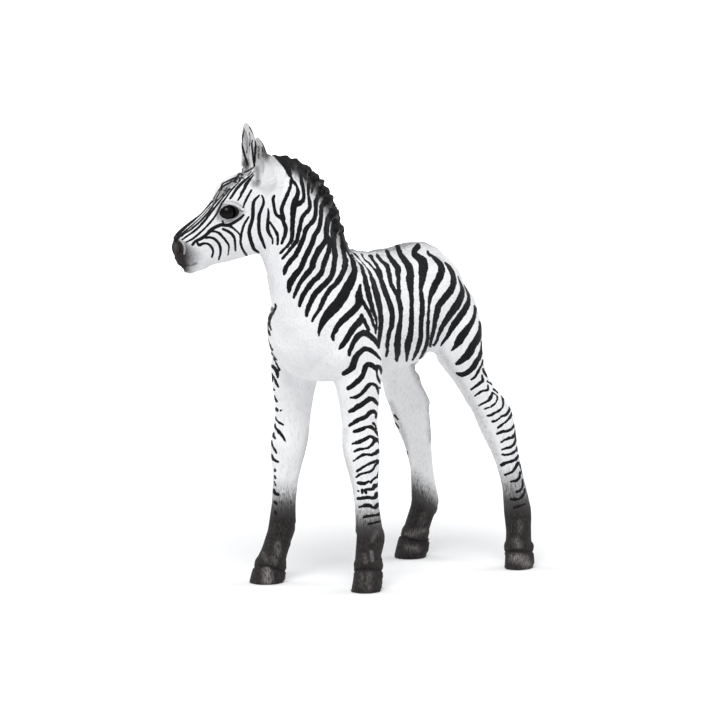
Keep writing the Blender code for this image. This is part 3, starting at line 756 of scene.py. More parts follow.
# %% Strokes of the face
face_strokes = [
    [(211, 200.7, 1.1), (197, 215, 1.6), (182.5, 228, 2.1), (176, 234.3, 2.8)],
    [(212, 203.5, 0.9), (207.4, 207.8, 1.1), (198.6, 217.9, 1.5), (180.2, 234.1, 2.3), (177, 237, 3),
     (175, 241, 3)],
    [(217.2, 199.8, 1.2), (215.5, 201.3, 1.4), (203.9, 216.9, 1.6), (191.1, 228.7, 1.8), (184, 233.2, 1.6),
     (180.7, 236, 1.4)],
    [(230, 188.7, 0.7), (225.2, 193.9, 1.1), (208, 215.3, 2.3), (205.5, 219, 2.2), (198.1, 227.2, 2),
     (192.3, 232.2, 1.9), (181.6, 239.5, 1.2)],
    [(237.6, 182.8, 0.8), (230.7, 190.1, 1.4), (225, 198.2, 1.5), (221.2, 203.3, 1.8), (216.3, 213.2, 1.7),
     (212.1, 219.4, 1.7), (203.1, 229.3, 1.7), (193.1, 238, 1.7), (185.7, 242.1, 1.2)],
    [(253.6, 171.2, 0.9), (251.2, 174.1, 1), (245.6, 179.2, 1.7), (241.8, 182.6, 2.7), (235.9, 189.1, 2.4),
     (230.9, 196.9, 2), (229.3, 198.7, 1.3)],
    [(253.3, 174.6, 1.2), (246, 183.6, 3.1), (243.9, 188.4, 2.9), (240.8, 193.6, 2.4), (240.1, 196, 2),
     (237.3, 200.3, 1.3)],
    [(250.8, 190.2, 1.6), (244.9, 201.2, 2), (242.6, 207.5, 1.2)],
    [(243, 215, 1.8), (239.5, 218.5, 2.5), (230, 224.5, 2.6), (225, 225.5, 2.6), (220.5, 225, 3.2),
     (212, 228.8, 3.3), (203, 237, 3.3), (195, 241.3, 2.6), (192, 244.5, 2.5)],
    [(222, 221, 1.6), (222.6, 222.5, 1.6)],
    [(196.5, 242.5, 2.2), (198.5, 245, 2.6), (202, 243.7, 2.2), (206, 243.5, 1.9), (209, 245, 2.1),
     (211.5, 248.5, 2.3), (212.5, 252, 2), (211.3, 257, 1.6)],
    [(205, 237.5, 2.6), (210, 237.5, 2.1), (214.5, 239.5, 2.3), (218, 243.5, 2.3), (219.8, 248, 2.5),
     (219.8, 253.5, 2), (218.2, 259.5, 1.4)],
    [(208, 231.5, 2.6), (212, 231.3, 2.1), (216, 232, 2.1), (220, 234.5, 2.3), (226.5, 242.5, 1.8),
     (228.3, 247, 1.4), (227.3, 255, 0.9)],
    [(222.3, 229, 2.1), (230, 233, 2.5), (233, 236.5, 2.5), (234.3, 241, 2.2), (234.8, 250.5, 1.6)],
    [(228, 225.7, 2.2), (232, 227.7, 2.1), (238.8, 234, 1.4), (240, 237.5, 1.8)],
    [(248, 217, 1.6), (242.5, 227, 2.1), (240, 242, 2.1), (243.5, 252, 2.1), (247, 256.5, 1.4)],
    [(258.5, 195.5, 1.2), (253, 202.5, 3.1), (252, 218, 3.4), (249, 229, 3.3), (248.8, 235, 3.5),
     (252, 246, 3.3), (254, 249.5, 3), (258, 252.5, 1.6)],
    [(261.3, 195.5, 1), (262.7, 199, 1.9), (262.7, 204, 2.5), (259, 214, 3), (258.2, 220, 3.2),
     (258.7, 232, 3.2), (262.5, 243, 2.7), (264.5, 248, 1.8)],
]
forelock_strokes = [
    [(252.8, 167.4, 1.3), (247.4, 170.7, 1.7), (238.5, 174.1, 1.4), (236.3, 177, 1.5), (224.8, 182.1, 1),
     (221.7, 184.2, 1), (220.1, 187.7, 1), (217.7, 190.8, 0.9)],
    [(233, 181.6, 1), (230.7, 181.4, 1.3), (229.2, 182.7, 1.4), (222.1, 186.7, 1.2), (220.8, 190, 0.8)],
    [(241, 175, 1.5), (242.5, 174.3, 1.3)],
    [(238.5, 177.5, 1.3), (239.5, 179.5, 1.3), (238.5, 181.5, 1.1)],
    [(236.8, 178.5, 1.1), (233.5, 181, 1.3), (235.3, 182.4, 1.5)],
    [(246.8, 175.6, 0.8), (250.4, 171.8, 0.9)],
    [(240.8, 177.5, 1.4), (243, 178.5, 0.8)],
    [(223, 194.6, 1), (222, 195.4, 1)],
    [(226.5, 188, 0.8), (225, 189.5, 0.8)],
    [(223.5, 190.6, 0.8), (226, 190.8, 0.7), (229, 188.5, 0.7)],
    [(221, 188, 0.4), (216, 198, 0.6), (213, 202.5, 0.4)],
    [(225, 191, 0.4), (218, 199.5, 0.4)],
    [(217, 191.5, 0.4), (212, 200.5, 0.3)],
]

# %% Strokes of the cheek, the neck and the mane's roots
neck_strokes = [
    [(267.5, 209, 1.2), (267.8, 214, 2.2), (267, 226, 3.3), (268, 232, 3.2), (272, 239, 1.5)],
    [(269, 222, 1.5), (275, 231, 2.4), (277, 237, 2.6), (277, 244, 2)],
    [(272, 241, 1.2), (272, 243.5, 1.2)],
    [(273.5, 196, 2), (272.5, 200, 2.8), (274.5, 212, 2.8), (277, 216, 3.2), (280, 218, 3.4),
     (283, 222, 3.6), (285, 228, 3.7), (284.5, 234, 3.6), (281, 243.5, 2)],
    [(289.5, 180, 1.8), (290, 186, 2.3), (288.5, 190, 2.9), (282, 206, 3.5), (281.5, 212, 3.8),
     (283, 219, 3.8)],
    [(287.5, 166, 3), (291, 179, 2.6), (294, 183, 2.1), (296.5, 187, 2.1), (297.3, 191, 3.6),
     (296.5, 196, 4.6), (293.5, 205, 6.6), (292, 220, 4.6), (291.5, 236, 3.6), (289, 243, 3), (281, 252, 2),
     (279, 253.5, 1.2)],
    [(301, 166, 3), (300.5, 178, 3.5), (302.7, 190, 3.1), (303.5, 196, 3.3), (302.5, 200, 4),
     (299, 203.5, 4.4), (296, 205, 4)],
    [(310, 172, 3.5), (307.5, 190, 2.9), (309, 202, 3), (309.5, 206, 3.6), (308, 210, 4.1),
     (301.5, 218, 4.1), (297.5, 236, 3.8), (295.5, 242, 3.6), (291.5, 247, 3.1), (283, 257, 2),
     (281.5, 259, 1.2)],
    [(321, 191, 5), (315.5, 200.5, 4.1), (315.2, 210, 4), (314.5, 216, 4.3), (312.5, 221, 4.1),
     (305.5, 229, 4.1), (302, 240, 4.2), (295.5, 254, 4.7), (287, 265, 4.2), (284.5, 270, 4.1),
     (283.5, 274, 2.5)],
    [(326, 199, 6), (321.5, 206, 4.7), (320.5, 212, 4), (319, 226, 4.2), (313, 238, 4.8), (311, 244, 5),
     (305.5, 256, 5.2), (300, 268, 5.4), (291.5, 279.5, 6.8), (289, 284.5, 6.2), (288.7, 289, 4.2),
     (288, 292, 2.5)],
    [(332, 212, 7), (327.5, 220, 5.6), (326, 228, 4.8), (325, 240, 5), (318.2, 250, 5.6), (312.5, 262, 5.7),
     (311, 268, 5.5), (300.5, 281, 4.4), (295, 293, 3), (293.2, 298, 1.5)],
    [(327.5, 236, 3), (329, 241, 3.6), (328, 251, 4.5), (326, 256, 5.1), (322.8, 266, 4.9),
     (321.3, 272, 4.8), (317.5, 277, 5.1), (312.5, 281, 5), (302, 296, 4.7), (299, 305.5, 3.2)],
    [(335, 222, 7.5), (333.5, 230, 7), (333, 244, 5.2), (334.5, 256, 5.2), (331.5, 274, 5),
     (325, 283.5, 5.2), (315, 293, 5.4), (308.7, 305, 4.6), (306.7, 311, 4.1), (306, 315.5, 3)],
    [(342, 232, 5), (342, 246.5, 4.4), (342.9, 252, 3.7), (344.8, 262, 5.6), (342.6, 271.5, 5.3),
     (337.5, 281, 4.8), (334, 285, 4.3), (330, 288.5, 4.6), (326.5, 293.5, 4.4), (321, 304, 4.1),
     (319, 309, 3.7), (313.5, 317, 2.4), (311.5, 321, 1.4)],
    [(345, 245, 0.8), (346.2, 250, 1.5), (350.3, 257.5, 2.2), (352.3, 261, 4.2), (354, 270, 5.4),
     (352.9, 275, 6.6), (350, 281.5, 8.4), (339.5, 300.5, 10), (325.5, 316.8, 8.2), (320, 327, 4.2),
     (318.3, 332, 2.2), (318.4, 335.5, 1.2)],
]
mane_strokes = [
    [(270, 153.5, 2), (275, 154.5, 4.5), (281, 158, 9), (286.5, 161.5, 12), (292, 162.5, 13),
     (298, 165, 13), (304, 168.5, 14), (310, 173.5, 14.5), (316, 180, 14), (327, 195, 12),
     (336.5, 215, 9.5), (343.5, 235, 5.5), (346, 244, 3.8), (347.8, 249, 2.2)],
    [(279, 158, 3), (286.5, 171, 2.4), (289, 176.5, 1.6)],
    [(305, 170, 3), (304.5, 175, 2.4), (305, 180, 1.4)],
    [(314, 181, 3.4), (311, 193, 1.2)],
]

# %% Strokes of the shoulder
shoulder_strokes = [
    [(359.7, 285, 1.6), (358.5, 295, 6.4), (358.5, 301, 6.8), (357, 306, 6.4), (353, 310.5, 6.2),
     (344, 318.5, 6.2), (336.5, 326.5, 4.8), (334.5, 331, 4.2), (332.2, 336, 3.6), (333, 340, 2.6)],
    [(361, 299, 3.2), (370, 316, 3.1), (374.2, 328, 2), (375, 333, 1.2)],
    [(360.7, 314.5, 2.4), (361, 318, 4.8), (358.5, 322, 6.2), (351.5, 330, 5.6), (345.8, 340, 5),
     (342.3, 344.5, 4.8), (338.5, 349, 2)],
    [(363.5, 320, 3.2), (368, 330, 3.2)],
    [(348.5, 355, 3), (349.5, 350.5, 4.2), (354.5, 340, 4.8), (357.7, 336, 5.2), (361.5, 333.3, 5.4),
     (366, 333.7, 5.6), (373.5, 339.7, 4.6), (376.5, 343.5, 3.6), (378.3, 347.5, 1.8)],
    [(343, 373.5, 4.2), (347.5, 371, 5.2), (351.5, 367.5, 6.6), (353.3, 362.5, 6.6), (357.7, 354, 5.2),
     (365.5, 348.7, 4.6), (374, 353.3, 3.5), (380, 359.7, 1.6)],
    [(274.5, 304, 1.2), (274.8, 308, 2), (270, 316, 3), (268.8, 320, 2.2), (269, 325, 1.7),
     (270.5, 330, 1)],
    [(271.5, 308, 1.6), (272, 311, 2.4)],
    [(266.7, 323, 1.4), (266.5, 328, 2.6), (269.3, 335, 1.2)],
    [(265.5, 334, 1.2), (266.5, 339, 1.5), (269, 345, 1.4), (272, 350, 1)],
    [(270, 352, 1), (276, 360, 1)],
    [(273, 358, 1.2), (279, 370, 1.2)],
    [(272, 366, 2.6), (274.5, 369, 3), (276.5, 373, 2.7), (277, 377, 2.2)],
]

# %% Strokes of the trunk and rump
trunk_strokes = [
    [(350.6, 254.2, 0.5), (354.8, 259.6, 0.3), (359.4, 264.2, 1.4), (362, 269.5, 2.9), (366.5, 288, 5),
     (371, 306, 4), (375, 318, 2.5), (376, 324, 1.8), (375.5, 330, 1.2)],
    [(352.8, 252.8, 0.6), (355, 254.7, 0.7), (359.6, 260.2, 0.3), (367.8, 270.2, 1.2), (372, 281, 4.2),
     (377, 298, 5.8), (379.8, 312, 4.4), (380.3, 326, 4.4), (378, 344, 3), (377.8, 348, 1.8)],
    [(360.8, 254, 1), (363.6, 259, 0.8), (368.6, 263.4, 0.9), (374.9, 270.8, 2), (380, 279, 3.8),
     (384.7, 292, 5), (391, 310, 4.8), (391.5, 323, 4.9), (388.3, 334, 3.8), (386.6, 346, 3.1),
     (387, 351, 2.6), (385.5, 356, 1.8)],
    [(369.4, 255.8, 2.8), (371.6, 258.3, 2.5), (373.2, 261.4, 2), (376.4, 266.3, 3.3), (377.7, 269, 2.8),
     (379.6, 271.4, 2.6), (381, 277, 2.8)],
    [(376, 255.4, 1.8), (378.4, 258, 2.9), (381.2, 261.2, 2.8), (386, 265.4, 4.3), (387.3, 268.2, 4.4),
     (389.1, 277.4, 4.2), (390.2, 283.4, 3.1), (391.6, 286.3, 3.8), (395.7, 293, 4), (398, 298.5, 5.2),
     (399.7, 304, 4.6), (400.5, 317, 4), (397.5, 338, 6.5), (396.8, 352, 5.6), (396, 360.5, 2.2)],
    [(386, 252, 2.8), (390.5, 259, 4), (397, 267.5, 5.4), (397.3, 272.5, 4.8), (397.7, 278, 3.6),
     (398.5, 296, 3.4)],
    [(397, 248, 4), (401, 256, 5), (407, 264.5, 6.2), (409, 269.5, 6.8), (409.7, 275, 7), (409.3, 281, 7.4),
     (411, 300, 3.7), (410.3, 331, 5.2), (407.5, 345, 5.9), (406, 361, 1.6)],
    [(416.8, 247.5, 4.6), (414, 251, 5.2), (414, 254.5, 5.6), (418, 257.5, 6.6), (421.7, 261, 8.4),
     (422.8, 265.5, 9), (422.3, 271, 8.6), (422, 277, 6.6), (420.2, 289, 3.5), (420.8, 295, 3.8),
     (421.8, 309, 4.6), (420.5, 323, 4.2), (420, 338, 4.3), (416.3, 351, 3.8), (412, 360, 1.4)],
    [(427, 251, 1.5), (428.3, 254.3, 2.1), (432, 256.5, 2.9), (439.7, 263.5, 6.4), (440.3, 273.5, 6.6),
     (432.7, 288.5, 6.4), (429.6, 299, 3.6), (428.5, 311, 2.2), (427.8, 325, 3.1), (427.3, 332, 3),
     (427.3, 338, 3.7), (426.3, 344, 3.6), (424, 350, 2.9), (419.5, 358.5, 1.4)],
    [(445.5, 261.5, 2), (449, 265.5, 4.4), (451.7, 270.5, 5.4), (453.2, 277, 5.9), (453, 283, 5.9),
     (450.7, 289, 6.2), (447, 294.5, 6.6), (439, 304.5, 5.8), (437, 310, 5.6), (433.5, 328, 3.2),
     (430.3, 344, 2), (430, 347, 1.2)],
    [(459, 276, 1), (461, 281, 3.2), (462.2, 291, 4.9), (457.5, 303, 6.5), (454.3, 308, 7.2),
     (447, 318, 5.8), (444.3, 323, 5.2), (441, 328, 4), (435.5, 342, 2), (433.5, 345.5, 1.2)],
    [(466, 284, 1), (468.3, 289, 2.6), (469.3, 294, 3.8), (468.7, 300, 4.5), (464, 310, 6.2),
     (453.3, 325, 5.8), (447.3, 335, 3.6), (440, 346, 1.2)],
    [(475.5, 306, 2), (475.8, 311, 4), (472, 321, 4.6), (461.7, 336, 7.6), (458.5, 341, 7.6),
     (455, 346, 4.2), (451, 350.5, 1.4)],
    [(479, 322, 1.2), (479.5, 328, 3.2), (478.7, 334, 5.4), (476, 340, 6.6), (472.7, 345, 7),
     (467, 355, 7.6), (459, 362, 4.6), (456, 364, 2.6)],
    [(481.5, 342, 1.6), (480, 353.5, 3.6), (474, 365, 5), (470, 370, 5), (465, 373.5, 4.8),
     (460, 374.5, 3.8), (456, 373, 2)],
    [(482, 360, 1.3), (480.5, 366, 1.8), (475, 376, 2.3), (471, 379.5, 1.6)],
    [(482.5, 369, 1.8), (484, 373, 2), (485.7, 376.5, 1.2)],
]

# %% Strokes of the forelegs
foreleg_strokes = [
    [(348, 388, 4.2), (352, 385.5, 4.8), (360, 378.5, 4.6), (362.5, 374, 4.8), (366, 365.3, 4.8),
     (369.5, 364.5, 4.8), (373, 366.5, 4.8), (375.5, 369, 3.8), (376.5, 366.5, 3.4), (378.5, 366.5, 3.2),
     (380.3, 370, 2.6), (380.8, 373.5, 1.4)],
    [(376, 371, 2), (376.8, 376, 1.7), (378.3, 380, 2.3), (379, 383, 1.2)],
    [(379, 388, 1.6), (382, 388, 1.6)],
    [(350, 397.5, 1.6), (358, 396, 3.6), (367.5, 386, 3.8), (371, 384, 3.4), (374.5, 385, 3),
     (376.5, 388, 2.3), (378, 394, 1)],
    [(349, 411.5, 3.2), (353, 409.5, 4.2), (357, 406.5, 5.2), (361, 405, 4.8), (368, 399.5, 4.6),
     (371.5, 399, 4.2), (374.5, 401, 3.5), (377, 404, 3.1)],
    [(349, 425.5, 2.6), (357.5, 420, 4.4), (362, 418.5, 4.4), (366, 416, 4), (369.5, 412.5, 3.8),
     (373, 411.5, 3.4), (375.5, 414, 2.3), (375.3, 418, 1.4)],
    [(353.5, 431.5, 2.6), (357.5, 430.5, 3.8), (366, 427, 2.6), (370, 427, 3.2), (373.5, 429, 3.1),
     (378, 436, 1.4)],
    [(372.5, 423, 1.9), (374.5, 425.5, 1.9), (375.5, 429, 1.9)],
    [(351.5, 444, 1.4), (359.5, 441.5, 3.8), (366.5, 438, 2.6), (370, 436.5, 2.8), (373.5, 438.5, 3.2),
     (377, 440, 3.2), (379.3, 444, 1.6)],
    [(373.5, 441, 3.3), (371, 445, 2.7), (367, 448, 1.9), (358.5, 449.5, 2.2), (354, 451.5, 1.7)],
    [(353, 461, 1.5), (361.5, 455.5, 2.6), (366, 454.5, 2.5), (370.5, 455, 2.5), (374.5, 453.5, 2.9),
     (377.5, 451, 3.8), (380, 452, 2.7), (380.5, 455, 1.2)],
    [(356.5, 471, 2.1), (364.5, 466, 2.1), (373, 462, 2.5), (377, 460.8, 2.5), (379.8, 462, 2.3),
     (380.3, 466, 1.2)],
    [(356, 477, 1.9), (360.5, 474, 2.1), (369.5, 471.5, 2.1), (372.5, 469, 1.9), (374.5, 465.5, 1.7),
     (377.5, 463, 1.7)],
    [(378.7, 472, 1.9), (378, 475, 2.3), (376.5, 477, 1.9)],
    [(375, 477.5, 2.1), (370, 482, 2.7)],
    [(357.5, 483, 2.7), (361, 483.5, 3.3), (365, 483, 3.1), (367.8, 481.5, 2.1)],
    [(378.3, 482, 1.3), (377, 485, 2.5), (374, 486.5, 4.1), (372, 489, 2.7), (364.5, 489.5, 1.9)],
    [(357.3, 491, 1.8), (357.8, 491.3, 1.8)],
    [(361.3, 490, 2.1), (361.5, 493, 2.3)],
    [(364, 490.5, 1.7), (365.5, 493, 1.9)],
    [(357.5, 498.5, 3.1), (367, 497.5, 3.3), (371, 498, 3.1), (374.5, 497.5, 3.1), (376.5, 494, 3.3),
     (378.5, 494, 2.7), (379.3, 498, 1.4)],
    [(358.5, 507, 1.5), (359, 507, 1.5)],
    [(360.5, 506.5, 1.9), (364, 505.5, 3.1), (369, 505.5, 3.3), (372, 507.5, 2.5), (375.5, 507, 3.5),
     (377.5, 504.5, 3.1), (379.5, 504, 2.7), (381, 508, 1.6)],
    [(363, 517.5, 1.8), (367, 516, 2.2), (376.5, 515, 2.1), (380, 513.5, 2.5)],
    [(368, 524, 1.8), (377.5, 522, 2.2), (382, 520.5, 2.6)],
    [(271, 374, 1.8), (271.8, 378, 2.2), (271.8, 381, 1.6)],
    [(273, 377, 1.6), (276.5, 385, 2), (277.8, 387, 1.4)],
    [(272, 388, 1.2), (273, 389.5, 2), (274, 390, 1.2)],
    [(274, 396, 1.2), (275.3, 400, 2), (276.3, 401.5, 1.6)],
    [(275.5, 408, 1.6), (276.5, 410, 2.8), (276.8, 411, 2)],
    [(279.7, 410.5, 1.8), (280.5, 410.3, 1.6)],
    [(275, 417, 1), (276, 420, 1.4), (278.5, 422.5, 1.4), (282.5, 425, 1)],
    [(274.5, 424, 1), (275, 427.5, 1.7), (277.5, 431, 2.7), (280.5, 434.5, 2.3), (284.7, 441, 0.9)],
    [(273, 433, 1.4), (273, 436, 2.1), (274.5, 438.5, 1.8)],
    [(270.8, 441, 1.1), (271.5, 445, 1.9), (276, 453, 1.8)],
    [(271, 455, 1.4), (272.5, 458.5, 2.3), (274.5, 460.5, 2.5), (277.5, 462, 2.1)],
    [(273.8, 469, 1.2), (274.6, 471, 1.7)],
    [(273.8, 476, 1.2), (274.8, 478.5, 1.7)],
    [(273.8, 482, 1.2), (275, 485, 1.7)],
    [(273, 490, 2), (274.5, 493.5, 3.1), (278, 494.5, 2)],
    [(274, 502, 2.5), (276.3, 504, 2.2)],
    [(274.5, 512, 2.6), (275.5, 514, 2)],
]

# %% Strokes of the hind legs
hindleg_strokes = [
    [(481.5, 375.2, 1.3), (481.8, 380.7, 2.9), (479.9, 382.6, 3.1), (470.8, 389.5, 1.6)],
    [(482.8, 369.5, 1.7), (483.7, 373, 1.5), (485.4, 374.8, 1)],
    [(486.7, 381.2, 1.3), (487.9, 382.4, 1), (489.6, 382.9, 1.5), (491, 384.4, 1)],
    [(487.3, 384.9, 1), (487.5, 389.7, 2.2), (482.3, 391, 1.9), (479.2, 392.5, 2), (474.5, 396, 1.5)],
    [(493.2, 389.3, 1.8), (496.5, 392.3, 1.4)],
    [(491.7, 392.8, 1.6), (489.9, 397.8, 2.7), (488.2, 400.1, 2.1), (478.5, 405.3, 1.5)],
    [(492.9, 392.8, 1.1), (496.5, 396.7, 1.5), (495.5, 402, 1.7), (490.3, 406.6, 1.5), (483, 409.3, 1)],
    [(501.4, 396, 1.3), (502.1, 398.4, 2.4), (502.4, 400.9, 1.5), (502.1, 406.6, 1.6), (498, 411, 2),
     (490, 415, 1.8), (486.5, 416, 1.2)],
    [(503, 398.2, 1.6), (505, 398.6, 0.8)],
    [(509, 403.2, 1.1), (509.3, 405, 1.7), (508, 411, 2.1), (505, 415, 2.1), (501, 416.5, 1.7)],
    [(499, 418.5, 1.7), (495.5, 421, 1.7), (491.5, 421.5, 1.4)],
    [(511.5, 413, 1.7), (509.5, 417, 2.1), (507, 420, 1.9), (500, 426, 1.9), (497.5, 427.5, 1.6)],
    [(514.5, 423, 1.4), (512.5, 427, 1.9), (509, 430, 2.1), (500, 432.5, 2.1), (496, 434, 1.6)],
    [(515, 430, 1.7), (514.5, 434, 2.3), (511.5, 437.5, 2.5), (507.5, 438.5, 2.5), (501, 442, 1.4)],
    [(515.5, 437, 1.9), (514.5, 442, 2.1), (511, 446.5, 2.3), (501.5, 449.5, 1.9)],
    [(517, 447, 2.1), (515.5, 450.5, 2.5), (511, 453.5, 2.3), (506, 455, 2.1), (501.5, 454.5, 1.8)],
    [(517.5, 456, 2.1), (516, 458.5, 2.5), (513, 460.5, 2.5), (504, 463.5, 3.1), (500.5, 465, 2.5)],
    [(517.5, 463, 3), (512.5, 471, 2.3), (504.5, 475, 1.8)],
    [(519.5, 465, 1.7), (522, 473, 1.4)],
    [(519.5, 472, 1.7), (519, 477, 2.3), (516, 480.5, 2.3), (510, 482, 1.8)],
    [(522, 480, 1.7), (522, 486, 1.9), (519.5, 490.5, 1.9), (515.5, 492, 1.6)],
    [(524, 489, 1.4), (523, 494, 1.9), (519, 498.5, 1.7), (513, 499.5, 2.1), (510, 499, 1.6)],
    [(524.5, 504, 1.6), (513, 508, 1.6)],
    [(394, 415, 1.4), (397, 419.5, 1.8)],
    [(395, 423, 1.2), (398, 428, 1.4)],
    [(406, 452, 1.3), (406.3, 455, 1.2)],
]
foreleg_paint = shoulder_strokes + foreleg_strokes + trunk_strokes[:5] + neck_strokes[-5:]
hindleg_paint = trunk_strokes + hindleg_strokes
strokes_of = {
    "head": mane_strokes[:2] + face_strokes + forelock_strokes + neck_strokes,
    "neck": face_strokes + neck_strokes + mane_strokes[1:] + shoulder_strokes,
    "mane": mane_strokes[1:] + neck_strokes + trunk_strokes[:3],
    "trunk": neck_strokes + shoulder_strokes + trunk_strokes + hindleg_strokes[:4] + foreleg_strokes[:3],
    "foreleg_left": foreleg_paint,
    "foreleg_right": foreleg_paint,
    "hindleg_left": hindleg_paint,
    "hindleg_right": hindleg_paint,
}
print("Strokes of each piece:", {name: len(strokes) for name, strokes in strokes_of.items()})

# %% [markdown]
# ## Carve the small forms
# The mould has a mouth line, nostrils, a groove above each hoof and soft folds in the coat.
# They are too small for the CAD solids, so the skin's points are pushed in or out along
# the way they face. The strokes that say where come from the photograph, like the stripes.
# The head's near side is split once more first, because its lines are the finest.

# %% Where the carving goes: strokes, height in millimetres and softness in pixels
crest_forms = [
    ([(304, 159.5, 0.6), (312, 166, 1), (322, 176, 1), (331, 190, 1), (338, 203, 1), (342.5, 216, 1),
      (346, 230, 1), (349, 242, 1), (351, 247, 0.6)], -0.66, 7),
    ([(292, 157, 0.4), (298, 157.5, 0.4)], -0.3, 5),
    ([(313.5, 162.5, 2), (310.5, 166, 2), (307, 171, 1.5)], 0.3, 2),
    ([(321, 172.5, 2), (317.5, 175.5, 2), (313.5, 180, 1.5)], 0.3, 2),
    ([(327, 177.5, 2), (323, 180.5, 2.2), (318, 185, 1.5)], 0.36, 2.4),
    ([(331.5, 186, 2), (327.5, 188.5, 2.2), (322, 193, 1.5)], 0.34, 2),
    ([(336.5, 195, 2), (332, 197, 2.2), (326, 202, 1.5)], 0.38, 2.4),
    ([(343, 209.5, 2), (338.5, 211, 2.4), (332, 215, 1.5)], 0.34, 2.5),
    ([(347.5, 226, 2), (343, 227, 2.2), (337, 230, 1.5)], 0.38, 2.4),
    ([(317, 166.5, 0.8), (313, 169.5, 0.8), (309, 175, 0.6)], -0.4, 1.8),
    ([(324, 175, 0.8), (320, 177.5, 0.8), (315, 183, 0.6)], -0.36, 1.8),
    ([(329, 181.5, 0.8), (324.5, 184, 0.8), (319.5, 189, 0.6)], -0.34, 1.8),
    ([(334, 190.5, 0.8), (329.5, 193, 0.8), (324, 197.5, 0.6)], -0.42, 1.8),
    ([(340, 202.5, 0.8), (335.5, 204.5, 0.8), (329, 209, 0.6)], -0.3, 1.8),
    ([(345.5, 219.5, 0.8), (340.5, 221, 0.8), (334, 224, 0.6)], -0.36, 1.8),
    ([(348.5, 230.5, 0.8), (343.5, 232, 0.8), (337.5, 235, 0.6)], -0.34, 1.8),
    ([(300, 161, 0.6), (297.5, 168, 0.6)], -0.2, 1.6),
    ([(291, 158, 0.6), (290, 165, 0.6)], -0.2, 1.6),
]
